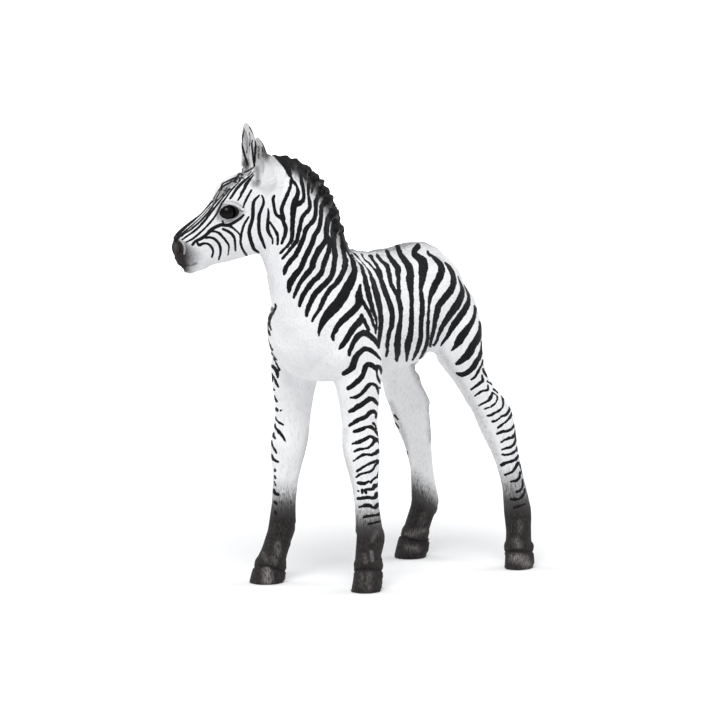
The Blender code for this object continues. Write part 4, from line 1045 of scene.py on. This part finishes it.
carvings = {
    "head": [
        ([(179, 264.5, 0.6), (185, 266.2, 0.8), (190, 266, 0.6), (195, 263.8, 0.3)], -0.3, 1.8),
        ([(186, 269.5, 1.5), (191, 269.3, 2), (196, 267.5, 1.5)], 0.16, 2.5),
        ([(178.5, 243.5, 1.6), (180.8, 246.5, 2.2), (181, 250, 2), (180, 253.5, 1.2)], -0.55, 1.6),
        ([(178.5, 240.5, 0.8), (182.5, 243.5, 0.8), (184.3, 248, 0.8), (184, 253, 0.8), (182, 256, 0.6)],
          0.22, 1.5),
        ([(177, 237, 2), (185, 229, 2), (195, 219, 2), (205, 208.5, 2), (212, 201, 1)], -0.26, 3),
        ([(170.5, 240, 2), (170, 247, 2.5), (173, 255, 2)], -0.28, 3),
        ([(179.5, 267.5, 2), (181, 270.5, 2)], -0.6, 3.5),
        ([(190, 272.5, 1), (197, 271.5, 1), (206, 268.5, 0.6)], 0.3, 4),
        ([(241.5, 158, 1), (242, 170, 1)], -0.6, 4),
        ([(272, 172, 7), (274, 180, 8)], 0.22, 7),
        ([(259, 189, 0.8), (270, 190.5, 1), (284, 188, 0.8)], -0.1, 2),
        ([(222.5, 203.5, 0.6), (229, 202, 0.8), (236, 204.2, 0.8), (242, 208, 0.6)], -0.2, 1.5),
        ([(221, 222, 0.6), (228, 223.5, 0.8), (235, 221, 0.6)], -0.14, 1.6),
        ([(239, 210.5, 0.6), (243.5, 212, 0.5)], -0.22, 1.2),
        ([(205, 252, 0.6), (213, 247, 0.8), (222, 244, 0.8)], -0.1, 3),
        ([(240, 226, 1), (246, 235, 1.2), (249, 246, 1), (246, 254, 0.8)], -0.14, 3.5),
        ([(212, 224, 0.6), (221, 228, 1), (232, 229.5, 0.6)], -0.1, 2.5),
        ([(257, 169, 0.8), (257.8, 177, 0.8), (258.5, 184, 0.5)], -0.22, 3),
    ],
    "mane": crest_forms,
    "neck": crest_forms,
    "trunk": [
        ([(400, 300, 1), (402, 325, 1.5), (404, 350, 1)], -0.14, 6),
        ([(432, 300, 1), (428, 322, 1.5), (430, 345, 1)], -0.16, 6),
        ([(374, 252, 0.8), (386, 249.5, 1), (400, 246, 1), (412, 245, 1), (424, 245, 0.6)], 0.34, 5),
    ],
    "foreleg_left": [
        ([(351, 571.5, 0.6), (357, 570, 0.8), (366, 569, 0.8), (376, 569.5, 0.8), (386, 572.5, 0.6)], -0.26,
          1.6),
        ([(352, 564, 2.5), (366, 563, 3), (386, 566, 2.5)], 0.14, 3),
        ([(356, 425, 0.8), (355, 445, 1), (357, 462, 0.8)], -0.14, 3),
        ([(361, 480, 0.8), (362, 505, 1.2), (362, 535, 0.8)], -0.12, 3),
        ([(374, 480, 0.8), (375, 505, 1.2), (376, 538, 0.8)], -0.1, 3),
        ([(371, 551, 1), (372, 560, 1)], 0.1, 2),
        ([(385, 530, 1), (384, 560, 1), (384, 582, 1)], 0.38, 4),
        ([(382, 560, 1), (383, 576, 1)], 0.32, 4),
        ([(352, 576, 1), (351, 583, 1)], -0.14, 4),
        ([(353, 535, 1), (351, 560, 1), (350, 588, 1)], -0.38, 4),
        ([(383, 591, 1.5), (386, 589, 2)], -0.55, 3),
    ],
    "foreleg_right": [
        ([(252, 567, 0.6), (261, 565.2, 0.8), (268, 565.6, 0.8), (276, 569, 0.8), (288, 571.5, 0.6)], -0.26,
          1.6),
        ([(255, 560, 2.5), (268, 559.5, 3), (287, 564, 2.5)], 0.14, 3),
        ([(290, 470, 0.8), (287, 500, 1.2), (283, 530, 0.8)], -0.14, 3.5),
        ([(281, 400, 1), (283, 430, 1.5), (282, 455, 1)], -0.12, 4),
        ([(276, 543, 1), (278, 556, 1.2)], 0.1, 2.5),
        ([(286, 568, 1), (285, 578, 1)], 0.3, 4),
        ([(296, 525, 1), (291, 541, 1)], -0.2, 4),
    ],
    "hindleg_left": [
        ([(500, 552, 0.6), (508, 551.3, 0.8), (518, 550.5, 0.8), (528, 551, 0.8), (538, 553.5, 0.6)], -0.26,
          1.6),
        ([(502, 545, 2.5), (518, 544, 3), (536, 546, 2.5)], 0.14, 3),
        ([(497, 415, 1), (504, 440, 1.2), (508, 462, 0.8)], -0.14, 3.5),
        ([(511, 480, 0.8), (513, 505, 1.2), (514, 530, 0.8)], -0.14, 3),
        ([(534, 544, 1), (535, 562, 1)], 0.58, 4),
        ([(502, 556, 1), (502, 567, 1)], -0.34, 4),
    ],
    "hindleg_right": [
        ([(398, 534.5, 0.6), (404, 537, 0.8), (413, 540, 0.8), (422, 541, 0.8), (432, 540.5, 0.6)], -0.26,
          1.6),
        ([(400, 528, 2.5), (413, 531, 3), (431, 533, 2.5)], 0.14, 3),
        ([(417, 470, 0.8), (421, 490, 1.2), (420, 515, 0.8)], -0.16, 3.5),
        ([(404, 420, 1), (408, 445, 1.2), (411, 470, 0.8)], -0.12, 3.5),
        ([(428, 541, 1), (428, 550, 1)], 0.42, 4),
        ([(434, 508, 1), (433, 511, 1)], 0.34, 4),
        ([(418, 378, 1), (421, 388, 1), (425, 397, 1), (426.5, 401, 0.6)], 0.52, 8),
        ([(417, 366, 1), (417.5, 370, 0.6)], -0.45, 4),
    ],
}
haunch_forms = [
    ([(446, 257, 0.6), (455, 264, 0.8), (463, 273, 1), (471, 284, 1), (477, 295, 1), (480.5, 306, 0.8),
      (481.5, 311, 0.6)], -0.42, 14),
    ([(466, 278, 0.6), (473, 288, 1), (478, 298, 0.6)], -0.36, 10),
]
flank_forms = [
    ([(428.5, 357, 0.6), (432.5, 357, 0.6)], -1, 6),
]
print("Carving strokes:", {name: len(forms) for name, forms in carvings.items()})


def carve(piece, places, facing, forms):
    """Push the points in or out where the carving strokes say."""
    push = np.zeros(len(places))
    for stroke, height, soft in forms:
        away = stroke_distance(places, [stroke], soft + 4.0)
        push += height * (1.0 - ease(-0.5, soft, away))
    write_points(piece, read_points(piece) + facing * push[:, None])


# %% Carve every piece of the skin
head_points = read_points(head)
near_side = side_of_head(head_points) > -1.0
edit_all(head, bpy.ops.mesh.select_all, action="DESELECT")
head.data.vertices.foreach_set("select", near_side)
bpy.ops.object.mode_set(mode="EDIT")
bpy.ops.mesh.subdivide(number_cuts=1, ngon=False)
bpy.ops.object.mode_set(mode="OBJECT")
print("Head's points:", len(head_points), "now", len(head.data.vertices))
facings = {}
homes = {}
for name in strokes_of:
    facings[name] = uncut_normals(pieces[name])
    homes[name] = addresses(name, pieces[name])
own_homes = {name: photo_address(read_points(pieces[name])) for name in leg_names}
for name, forms in carvings.items():
    places = own_homes.get(name, homes[name])
    carve(pieces[name], places, facings[name], forms)
for name in ("trunk", "hindleg_left", "hindleg_right"):
    carve(pieces[name], homes[name], facings[name], haunch_forms)
off_photo = -99.0
for name in ("trunk", "hindleg_left"):
    near = read_points(pieces[name])[:, 0] > foal_middle
    carve(pieces[name], np.where(near[:, None], homes[name], off_photo), facings[name], flank_forms)
root_points = read_points(tail)
root_points[:, 1] -= ease(48.0, 55.0, root_points[:, 2])
write_points(tail, root_points)
print("Carved:", ", ".join(carvings))

# %% [markdown]
# ## Put the paint's plan on the points
# The shader can't read the strokes, so every point keeps three numbers: how far it is from
# the edge of the nearest stripe in millimetres, how much soot and painted shade it has, and how
# much it is rubbed light with painted highlights or washed dark with painted groove shade.
# Distances blend smoothly between points, so the painted edge stays sharp even between them.

# %% Small helpers for soft edges
def keep_paint(piece, **plan):
    """Store one number per point under each name, where a shader can read it."""
    for name, values in plan.items():
        layer = piece.data.attributes.new(name, "FLOAT", "POINT")
        layer.data.foreach_set("value", np.ascontiguousarray(values, dtype=np.float32))


pixels_per_mm = 5.2
paint_reach = 12.0
stripe_bold = {"head": 0.05, "neck": 0.06, "mane": 0.05, "trunk": 0.08}


# %% How much soot and painted shade each place has
def soft_stroke(places, strokes, low, high):
    """1 on the strokes and 0 beyond them, with a soft edge in pixels."""
    return 1.0 - ease(low, high, stroke_distance(places, strokes, high + 1.0))


leg_soot = {
    "foreleg_left": (490, 531, 0),
    "foreleg_right": (474, 512, 0),
    "hindleg_left": (454, 507, 0),
    "hindleg_right": (461, 495, 0.75),
}
# Painted shade along the edges of the legs, darkest on the far hind leg
leg_shades = {
    "foreleg_left": [
        ([(345, 430, 1), (343, 450, 1.5), (350, 475, 1.5), (354, 500, 1.5)], 0.2, 5),
    ],
    "foreleg_right": [
        ([(309, 430, 1), (304, 460, 1.5), (299, 480, 1.5), (297, 495, 2)], 0.26, 5),
    ],
    "hindleg_left": [
        ([(440, 352, 1), (466, 392, 1.5), (488, 435, 1.5), (502, 472, 1.5)], 0.2, 6),
    ],
    "hindleg_right": [
        ([(413, 366, 1.5), (419, 381, 2.5), (427, 396, 2.5), (430, 412, 1.5), (431, 440, 1)], 0.5, 6),
        ([(390, 403, 1), (396, 418, 1.5), (404, 440, 1), (408, 470, 1)], 0.34, 5),
    ],
}
# Dry brushing and painted highlights on the hooves, pasterns and mane (positive); dark washes and painted
# shade in the grooves above the hooves (negative)
rubs = {
    "foreleg_left": [
        ([(371, 552, 1), (371.5, 560, 1.2)], 0.85, 2),
        ([(364, 556, 1), (365, 562, 1)], 0.35, 3),
        ([(369, 574, 2), (368, 588, 2.5)], 0.34, 4),
        ([(361, 575, 1.5), (361, 586, 1.5)], 0.28, 3),
        ([(376, 532, 1.5), (372, 541, 1)], 0.3, 3),
        ([(352, 570.5, 1), (360, 569, 1), (372, 569.3, 1), (386, 572.5, 1)], -0.8, 1.8),
    ],
    "foreleg_right": [
        ([(267, 569, 4), (267, 580, 6)], 0.8, 5),
        ([(277, 544, 1.5), (277, 553, 2.5)], 0.5, 4),
        ([(273, 558, 2), (274, 563, 2)], 0.45, 3),
        ([(262, 553, 1), (266, 560, 1.5)], 0.3, 3),
        ([(260, 566, 1), (267, 565.5, 1), (274, 568.5, 1), (288, 572, 1)], -0.8, 1.8),
    ],
    "hindleg_left": [
        ([(514, 558, 4), (522, 559, 5), (526, 564, 3)], 0.85, 5),
        ([(516, 541, 3), (518, 546, 3)], 0.45, 4),
        ([(519, 523, 1.5), (520, 530, 1.5)], 0.3, 4),
        ([(503, 551.5, 1), (516, 550.8, 1), (536, 553, 1)], -0.8, 1.8),
    ],
    "hindleg_right": [
        ([(407, 534, 2), (416, 533, 2.5), (423, 530, 1.5)], 0.5, 4),
        ([(407, 547, 3), (416, 549, 3.5)], 0.5, 4),
        ([(424, 515, 1), (420, 524, 1)], 0.25, 4),
        ([(400, 537, 1), (409, 539.5, 1), (422, 541.5, 1), (431, 540.5, 1)], -0.8, 1.8),
    ],
    # Painted highlights along the mane's locks
    "mane": [
        ([(295.5, 166, 1), (295.5, 172, 1)], 0.2, 2.5),
        ([(306, 173, 1.5), (305, 184, 2.5)], 0.5, 3),
        ([(317, 184, 1.5), (312, 192, 2.5)], 0.5, 3),
        ([(325, 197, 1.5), (319.5, 204, 2)], 0.5, 3),
        ([(331, 205, 1.5), (327, 211, 2)], 0.5, 3),
        ([(337, 217, 1.5), (332, 221, 2)], 0.55, 3),
        ([(340, 232, 1.2), (337, 238, 2)], 0.7, 3),
        ([(284, 166, 0.8), (287, 172, 1)], 0.4, 2),
    ],
}
rubs["neck"] = rubs["mane"]
rubs["head"] = [
    ([(284, 164, 0.8), (286.5, 170, 1)], 0.4, 2),
    ([(175, 243, 1), (175, 249, 1.5)], 0.25, 3),
    ([(224.5, 212, 8), (234, 211.5, 8)], -1, 2.4),
]


def rub_of(name, places):
    """Light dry brushing and painted highlights above 0, dark washes and painted groove shade below 0."""
    light = np.zeros(len(places))
    dark = np.zeros(len(places))
    for stroke, value, soft in rubs.get(name, []):
        here = abs(value) * soft_stroke(places, [stroke], -0.6 * soft, 1.3 * soft)
        if value > 0:
            light = np.maximum(light, here)
        else:
            dark = np.maximum(dark, here)
    return light - dark


muzzle_rows = [225, 235, 240, 245, 250, 255, 260, 265, 269, 274]
muzzle_edges = [171, 175, 179, 185.5, 188.5, 190.5, 190, 189.5, 188, 185]
muzzle_blends = [2, 3, 5, 12, 16, 17, 16, 12, 9, 8]


def muzzle_soot(places):
    edge = np.interp(places[:, 1], muzzle_rows, muzzle_edges)
    blend = np.interp(places[:, 1], muzzle_rows, muzzle_blends)
    return 1.0 - ease(edge - blend * 0.5, edge + blend, places[:, 0])


def spot(places, x, y, wide, high, low, far):
    """A soft spot: 1 within low of its middle, 0 beyond far, in shares of its size."""
    away = np.hypot((places[:, 0] - x) / wide, (places[:, 1] - y) / high)
    return 1.0 - ease(low, far, away)


def ear_shade(places):
    """Grey on the ears, darker at the rims, fading to white at the root of the near ear."""
    near = ease(252.0, 257.0, places[:, 0])
    rise = (0.30 + 0.22 * near) * (1.0 - ease(152.0, 172.0, places[:, 1]))
    back = 0.95 * spot(places, 265.5, 151.0, 6.0, 13.0, 0.35, 1.3)
    tip = 0.30 * spot(places, 260.5, 141.0, 4.5, 5.0, 0.2, 1.2)
    low = 0.92 * spot(places, 245.5, 164.5, 5.0, 9.0, 0.4, 1.25)
    return np.maximum.reduce([rise, back, tip, low])


# Painted shade in front of and under the eye, and painted shadow in the fold below the near ear
face_spots = {
    "before the eye": (0.56, (218, 214.5, 3.8, 7, 0.2, 1.4)),
    "under the eye": (0.62, (229, 220, 7, 3.2, 0.3, 1.3)),
    "fold at the ear": (0.56, (254.5, 183.5, 5.5, 6, 0.1, 1.2)),
}
# Dark marks: the eye's painted corner, painted shadow in the notch below the near ear, the grey forelock,
# darker along the mouth line
face_marks = {
    "eye's corner": (0.8, [(237, 210.5, 2), (242.5, 211.5, 0.8)], -0.5, 1.2),
    "notch at the ear": (0.66, [(256.3, 168, 1.2), (257, 176, 1.2), (256.5, 184, 2)], -0.5, 4),
    "forelock": (0.66, [(249, 170, 3), (241, 175.5, 7), (234, 180.5, 7), (226, 186.5, 7), (219, 195, 7),
                        (213, 202, 5)], -1.5, 1.5),
    "mouth": (0.65, [(181, 265.5, 1), (186, 266.5, 1.6), (191, 266, 1.4), (195.5, 263.2, 0.6)], -0.5, 3.5),
}
# Painted highlights on the nostril's rim and on the brow above the eye
face_lights = {
    "nostril's rim": (0.40, [(178.8, 239.8, 0.8), (181.5, 242, 1), (183.3, 245.5, 1.2),
                             (184, 249.5, 1.2), (183.6, 253.5, 0.8)], -0.3, 0.9),
    "brow": (0.35, [(224, 203, 0.8), (232, 203.6, 1), (238, 206.5, 1), (243, 210.5, 0.6)], -0.3, 0.9),
}


def marks_of(places, marks):
    """Each mark's strength times its soft stroke."""
    return [share * soft_stroke(places, [stroke], low, high) for share, stroke, low, high in marks.values()]


def face_shade(places):
    """The sooty muzzle, the dark eye rims, the grey forelock, painted shade round and under the eye and the
    ear's shadow, less the painted highlights.
    """
    ring = np.hypot((places[:, 0] - 229.4) / 9.4, (places[:, 1] - 212.0) / 6.9)
    rim = 1.0 - ease(0.94, 1.14, ring)
    # Painted shade in a soft ring round the eye
    halo = 0.58 * (1.0 - ease(1.05, 1.95, ring))
    spots = [share * spot(places, *size) for share, size in face_spots.values()]
    shade = np.maximum.reduce([muzzle_soot(places), rim, halo, ear_shade(places)] + spots
                              + marks_of(places, face_marks))
    light = sum(marks_of(places, face_lights))
    return np.maximum(shade - light, 0.0)


def soot_of(name, piece, places):
    """How much soot and painted shade each point of a piece has, from 0 to 1."""
    points = read_points(piece)
    if name in leg_soot:
        low, high, tilt = leg_soot[name]
        own = own_homes[name]
        row = own[:, 1] - tilt * np.maximum(own[:, 0] - 412.0, 0.0)
        # Painted shade along the edges of the legs
        marks = [value * soft_stroke(own, [stroke], -1.0, soft)
                 for stroke, value, soft in leg_shades[name]]
        ramp = 0.95 * ease(low, high - 2.0, row) + 0.05 * ease(high - 8.0, high + 10.0, row)
        return np.maximum.reduce([ramp] + marks)
    if name == "trunk":
        from_spine = np.abs(points[:, 0] - foal_middle)
        spine = 0.65 * (1.0 - ease(0.6, 2.6, from_spine)) * ease(0.2, 0.6, facings[name][:, 2])
        back = 0.20 * ease(0.72, 0.96, facings[name][:, 2])
        return np.maximum(spine, back) * ease(52.0, 57.0, points[:, 2])
    crest = soft_stroke(places, mane_strokes[:1], -1.5, 11.0)
    if name == "head":
        crest = soft_stroke(places, mane_strokes[:1], -1.0, 2.0)
        return np.maximum(face_shade(places), crest)
    if name in ("neck", "mane"):
        return crest
    return np.zeros(len(points))


# %% Stripes for every coat piece
def stripe_of(name, places):
    """Millimetres to the nearest stripe's edge; the hidden belly and inner legs stay plain."""
    normals = facings[name]
    away = stroke_distance(places, strokes_of[name], paint_reach) / pixels_per_mm
    away -= stripe_bold.get(name, 0.06)
    hidden = ease(-0.05, 0.15, -(normals @ out_way))
    if name == "trunk":
        away = away + 2.5 * hidden * ease(0.30, 0.65, -normals[:, 2])
    if name.endswith("leg_left"):
        away = away + 2.5 * hidden * ease(0.15, 0.55, -normals[:, 0])
    return np.clip(away, -2.5, 2.5)


for name in strokes_of:
    piece = pieces[name]
    places = homes[name]
    keep_paint(piece, stripe=stripe_of(name, places), soot=soot_of(name, piece, places),
               rub=rub_of(name, own_homes.get(name, places)))
    print("painted", name)

# %% The ears' dark rims and streaks
ear_strokes = [
    [(254.5, 141, 1.2), (255, 146, 1.7), (254.5, 151, 1.9), (254.3, 162, 1.6)],
    [(252, 140, 1), (251.3, 146, 1.7), (253.7, 166, 1.8)],
    [(261.3, 140, 1.8), (264.7, 148, 2.2), (269, 155.5, 1.2)],
    [(243.7, 129, 0.9), (241, 142, 1.9), (242, 148, 2.1), (247, 165, 2.2)],
    [(249, 127, 1), (253.3, 135, 1)],
    [(248.5, 132, 0.6), (249.5, 139, 0.9), (249, 146, 0.8)],
    [(246.3, 141, 0.6), (246.5, 148, 0.9), (246, 153, 0.6)],
    [(258.5, 146, 0.6), (258, 153, 0.8), (258.3, 159, 0.7)],
    [(261.5, 147, 0.7), (262.5, 157, 0.7)],
]
for name in ("ear_left", "ear_right"):
    piece = pieces[name]
    places = photo_address(read_points(piece))
    away = stroke_distance(places, ear_strokes + face_strokes + forelock_strokes, paint_reach)
    keep_paint(piece, stripe=away / pixels_per_mm - 0.02, soot=face_shade(places), rub=0.0 * away)
print("painted both ears")

# %% The tail's stripes are a guess: the photograph hides the tail
height = read_points(tail)[:, 2]
band_length = 3.4
band = np.abs(((height - 36.0) / band_length) % 1.0 - 0.5) * band_length
band = np.where(height > 51.3, 0.0, band)
keep_paint(tail, stripe=np.where(height > 43.0, band - 0.55, 2.0), soot=1.0 - ease(38.5, 44.5, height),
           rub=0.0 * height)
print("tail from", height.min().round(1), "to", height.max().round(1))

# %% [markdown]
# ## Paint as shared node groups
# One group mixes the three paints of the coat: pale base, black stripes and soot, which also
# carries painted shade; dry brushing adds painted highlights and washes add painted groove shade.
# It wobbles each stripe's edge a little and leaves dry-brush flecks, as a small brush does on
# a rough surface. A second group gives the height of the moulded hair, which lies along
# the piece. Both are built once and placed in every material with their own values.

# %% A helper for node groups
def new_group(name, takes, gives):
    """An empty shader group: None takes a vector, a number a float and a tuple a colour."""
    group = bpy.data.node_groups.new(name, "ShaderNodeTree")
    for label, value in takes.items():
        kind = "NodeSocketColor" if isinstance(value, tuple) else "NodeSocketFloat"
        if value is None:
            kind = "NodeSocketVector"
        socket = group.interface.new_socket(label, in_out="INPUT", socket_type=kind)
        if value is not None:
            socket.default_value = value
    for label, kind in gives.items():
        group.interface.new_socket(label, in_out="OUTPUT", socket_type=kind)
    return group, group.nodes.new("NodeGroupInput").outputs, group.nodes.new("NodeGroupOutput")


def add_noise(tree, vector, size, detail=2.0):
    """Noise whose lumps are about the given size in metres."""
    node = add_node(tree, "ShaderNodeTexNoise", {"Scale": 1.0 / size, "Detail": detail, "Vector": vector})
    return node.outputs["Fac"]


def add_math(tree, kind, first, second, clamp=False):
    """One sum on two values, each a socket or a number; clamp keeps it from 0 to 1."""
    node = add_node(tree, "ShaderNodeMath", {0: first, 1: second}, operation=kind, use_clamp=clamp)
    return node.outputs["Value"]


def add_wave(tree, noise, strength):
    """The noise moved to swing round zero, times its strength."""
    return add_math(tree, "MULTIPLY", add_math(tree, "SUBTRACT", noise, 0.5), strength)


def add_ramp(tree, value, low, high, start, end):
    """A smooth step from start to end while the value goes from low to high."""
    node = add_node(tree, "ShaderNodeMapRange", {
        "Value": value, "From Min": low, "From Max": high, "To Min": start, "To Max": end,
    }, interpolation_type="SMOOTHSTEP")
    return node.outputs["Result"]


def add_mix(tree, share, first, second):
    """A blend of two colours, each a socket or a tuple."""
    node = add_node(tree, "ShaderNodeMix", {"Factor": share}, data_type="RGBA")
    places = [place for place, item in enumerate(node.inputs) if item.type == "RGBA"]
    set_inputs(tree, node, dict(zip(places, (first, second))))
    return [item for item in node.outputs if item.type == "RGBA"][0]


# %% The zebra paint
paint, takes, leave = new_group("zebra_paint", {
    "Vector": None, "Hair Vector": None, "Stripe": 1.0, "Soot": 0.0, "Rub": 0.0, "Wobble": 0.45,
    "Streak": 1.5, "Coat Colour": (0.8, 0.8, 0.82, 1.0), "Stripe Colour": (0.005, 0.005, 0.0062, 1.0),
    "Soot Colour": (0.04, 0.036, 0.036, 1.0), "Worn Colour": (0.06, 0.053, 0.051, 1.0),
}, {"Colour": "NodeSocketColor", "Roughness": "NodeSocketFloat"})
skin_place = takes["Vector"]
hair_place = takes["Hair Vector"]
wobble = add_wave(paint, add_noise(paint, skin_place, 0.0011, 4.0), takes["Wobble"])
hair_push = add_wave(paint, add_noise(paint, hair_place, 1.0), 0.16)
edge = add_math(paint, "ADD", add_math(paint, "ADD", takes["Stripe"], wobble), hair_push)
stripe_mask = add_ramp(paint, edge, -0.045, 0.045, 1.0, 0.0)
flecks = add_ramp(paint, add_noise(paint, hair_place, 0.55, 3.0), 0.54, 0.78, 0.0, 0.40)
stripe_paint = add_mix(paint, flecks, takes["Stripe Colour"], (0.075, 0.075, 0.08, 1.0))
clouds = add_ramp(paint, add_noise(paint, skin_place, 0.007, 3.0), 0.45, 0.8, 0.0, 0.35)
clouded = add_mix(paint, clouds, takes["Coat Colour"], (0.60, 0.61, 0.645, 1.0))
fur_tone = add_ramp(paint, add_noise(paint, hair_place, 1.3, 4.0), 0.48, 0.75, 0.0, 0.45)
coat_paint = add_mix(paint, fur_tone, clouded, (0.62, 0.62, 0.63, 1.0))
speckle = add_noise(paint, hair_place, 0.7, 4.0)
# The mask of soot and painted shade, with a streaky edge
soot_push = add_wave(paint, speckle, takes["Streak"])
soot_room = add_math(paint, "MULTIPLY", takes["Soot"], add_math(paint, "SUBTRACT", 1.0, takes["Soot"]))
soot_wave = add_math(paint, "MULTIPLY", soot_push, add_math(paint, "MULTIPLY", soot_room, 4.0))
soot_mask = add_math(paint, "ADD", takes["Soot"], soot_wave, clamp=True)
soot_tone = add_ramp(paint, speckle, 0.40, 0.70, 0.0, 0.80)
soot_paint = add_mix(paint, soot_tone, takes["Soot Colour"], takes["Worn Colour"])
# Dry brushing with painted highlights, then dark washes with painted shade in the grooves
brushed = add_ramp(paint, speckle, 0.36, 0.62, 0.25, 1.0)
rub_light = add_math(paint, "MULTIPLY", takes["Rub"], brushed, clamp=True)
rubbed = add_mix(paint, rub_light, soot_paint, (0.28, 0.262, 0.254, 1.0))
rub_dark = add_math(paint, "MULTIPLY", takes["Rub"], -1.0, clamp=True)
washed = add_mix(paint, rub_dark, rubbed, (0.006, 0.005, 0.005, 1.0))
sooted = add_mix(paint, soot_mask, coat_paint, washed)
dark = add_math(paint, "MAXIMUM", stripe_mask, soot_mask)
set_inputs(paint, leave, {
    "Colour": add_mix(paint, stripe_mask, sooted, stripe_paint),
    "Roughness": add_ramp(paint, dark, 0.0, 1.0, 0.66, 0.56),
})

# %% The moulded hair
hair, takes, leave = new_group("moulded_hair", {"Hair Vector": None, "Vector": None},
                               {"Height": "NodeSocketFloat"})
strands = add_noise(hair, takes["Hair Vector"], 1.0, 3.0)
locks = add_math(hair, "MULTIPLY", add_noise(hair, takes["Hair Vector"], 3.0), 0.8)
lumps = add_math(hair, "MULTIPLY", add_noise(hair, takes["Vector"], 0.004), 1.2)
fine = add_math(hair, "ADD", strands, locks)
set_inputs(hair, leave, {"Height": add_math(hair, "ADD", fine, lumps)})
print("Groups:", [group.name for group in bpy.data.node_groups])


# %% A painted coat for any piece
def coat_material(name, hair_way, hair_size, soot_colour, worn, bump=0.00020,
                  coat=(0.86, 0.86, 0.87, 1.0), wobble=0.45, streak=1.5):
    """Zebra paint over moulded hair that lies along hair_way; hair_size is across and along."""
    material, tree, shader = new_material(name)
    across, along = hair_size
    place = add_node(tree, "ShaderNodeTexCoord", {}).outputs["Object"]
    mapping = add_node(tree, "ShaderNodeMapping", {
        "Vector": place, "Rotation": Vector(hair_way).to_track_quat("Y", "Z").to_euler(),
        "Scale": (across, along, across),
    }, vector_type="TEXTURE")
    places = {"Vector": place, "Hair Vector": mapping.outputs["Vector"]}
    plan = {}
    for label in ("Stripe", "Soot", "Rub"):
        node = add_node(tree, "ShaderNodeAttribute", {}, attribute_name=label.lower())
        plan[label] = node.outputs["Fac"]
    painting = add_node(tree, "ShaderNodeGroup", {
        **places, **plan, "Coat Colour": coat, "Wobble": wobble, "Streak": streak,
        "Soot Colour": soot_colour, "Worn Colour": worn,
    }, node_tree=paint)
    moulded = add_node(tree, "ShaderNodeGroup", places, node_tree=hair)
    bumps = add_node(tree, "ShaderNodeBump", {
        "Strength": 1.0, "Distance": bump, "Height": moulded.outputs["Height"],
    })
    set_inputs(tree, shader, {
        "Base Color": painting.outputs["Colour"], "Roughness": painting.outputs["Roughness"],
        "Normal": bumps.outputs["Normal"], "Specular IOR Level": 0.12,
    })
    return material


charcoal = (0.017, 0.0148, 0.0148, 1.0)
charcoal_worn = (0.055, 0.048, 0.046, 1.0)
muzzle_brown = (0.016, 0.0135, 0.0135, 1.0)
muzzle_worn = (0.050, 0.043, 0.042, 1.0)
mane_black = (0.005, 0.0048, 0.0055, 1.0)
mane_worn = (0.019, 0.018, 0.019, 1.0)
ear_grey = (0.07, 0.060, 0.058, 1.0)
body_hair = (0.00028, 0.0012)
down = (0.0, 0.0, -1.0)
materials = {
    "trunk": coat_material("painted_trunk", (0.0, 0.95, -0.30), body_hair, charcoal, charcoal_worn),
    "neck": coat_material("painted_neck", (0.05, 0.40, -0.90), body_hair, mane_black, mane_worn),
    "head": coat_material("painted_head", head_down, (0.0002, 0.0009), muzzle_brown, muzzle_worn,
                          0.00010, (0.80, 0.80, 0.81, 1.0), 0.15, 0.7),
    "mane": coat_material("painted_mane", (0.0, 0.55, 0.83), (0.0003, 0.0025), mane_black, mane_worn,
                          0.0003),
    "ear_left": coat_material("painted_ears", (0.0, -0.2, 0.98), (0.00022, 0.0015), ear_grey, ear_grey,
                              0.0001, (0.80, 0.80, 0.81, 1.0), 0.15, 1.0),
    "tail": coat_material("painted_tail", down, (0.00025, 0.003), mane_black, mane_worn, 0.00025),
    # The legs' coat is painted a lighter white than the trunk's, to lift the shade on the legs
    "leg": coat_material("painted_legs", down, body_hair, charcoal, charcoal_worn,
                         coat=(0.90, 0.90, 0.91, 1.0)),
}
materials["ear_right"] = materials["ear_left"]
for name in leg_names:
    materials[name] = materials["leg"]

print("Coats:", [material.name for material in materials.values()])

# %% [markdown]
# ## The eyes' own paint and the hand-over
# The real eyes are painted black and varnished, so they are the one glossy spot. Then every
# piece gets its material and a place under the figure's root, and the CAD node that it stands
# for is hidden.

# %% The glossy eye beads
eye_paint, eye_tree, eye_shader = new_material("glossy_eye")
eye_place = add_node(eye_tree, "ShaderNodeTexCoord", {}).outputs["Object"]
eye_noise = add_noise(eye_tree, eye_place, 1.0 / 700.0)
eye_tone = add_mix(eye_tree, eye_noise, (0.0018, 0.0015, 0.0015, 1.0), (0.005, 0.004, 0.0036, 1.0))
set_inputs(eye_tree, eye_shader, {"Base Color": eye_tone, "Roughness": 0.16, "Specular IOR Level": 0.14})
for name in ("eye_left", "eye_right"):
    materials[name] = eye_paint
print("Materials for", ", ".join(materials))

# %% Hand every piece to the frame
for item in helpers:
    bpy.data.objects.remove(item)
for name, piece in pieces.items():
    piece.name = "painted_" + name
    piece.data.materials.clear()
    piece.data.materials.append(materials[name])
    piece.data.polygons.foreach_set("material_index", [0] * len(piece.data.polygons))
    choose(piece)
    bpy.ops.object.shade_smooth_by_angle(angle=math.radians(50.0))
    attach(piece, "root")
    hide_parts(name)
    print(piece.name, "has", len(piece.data.polygons), "faces")
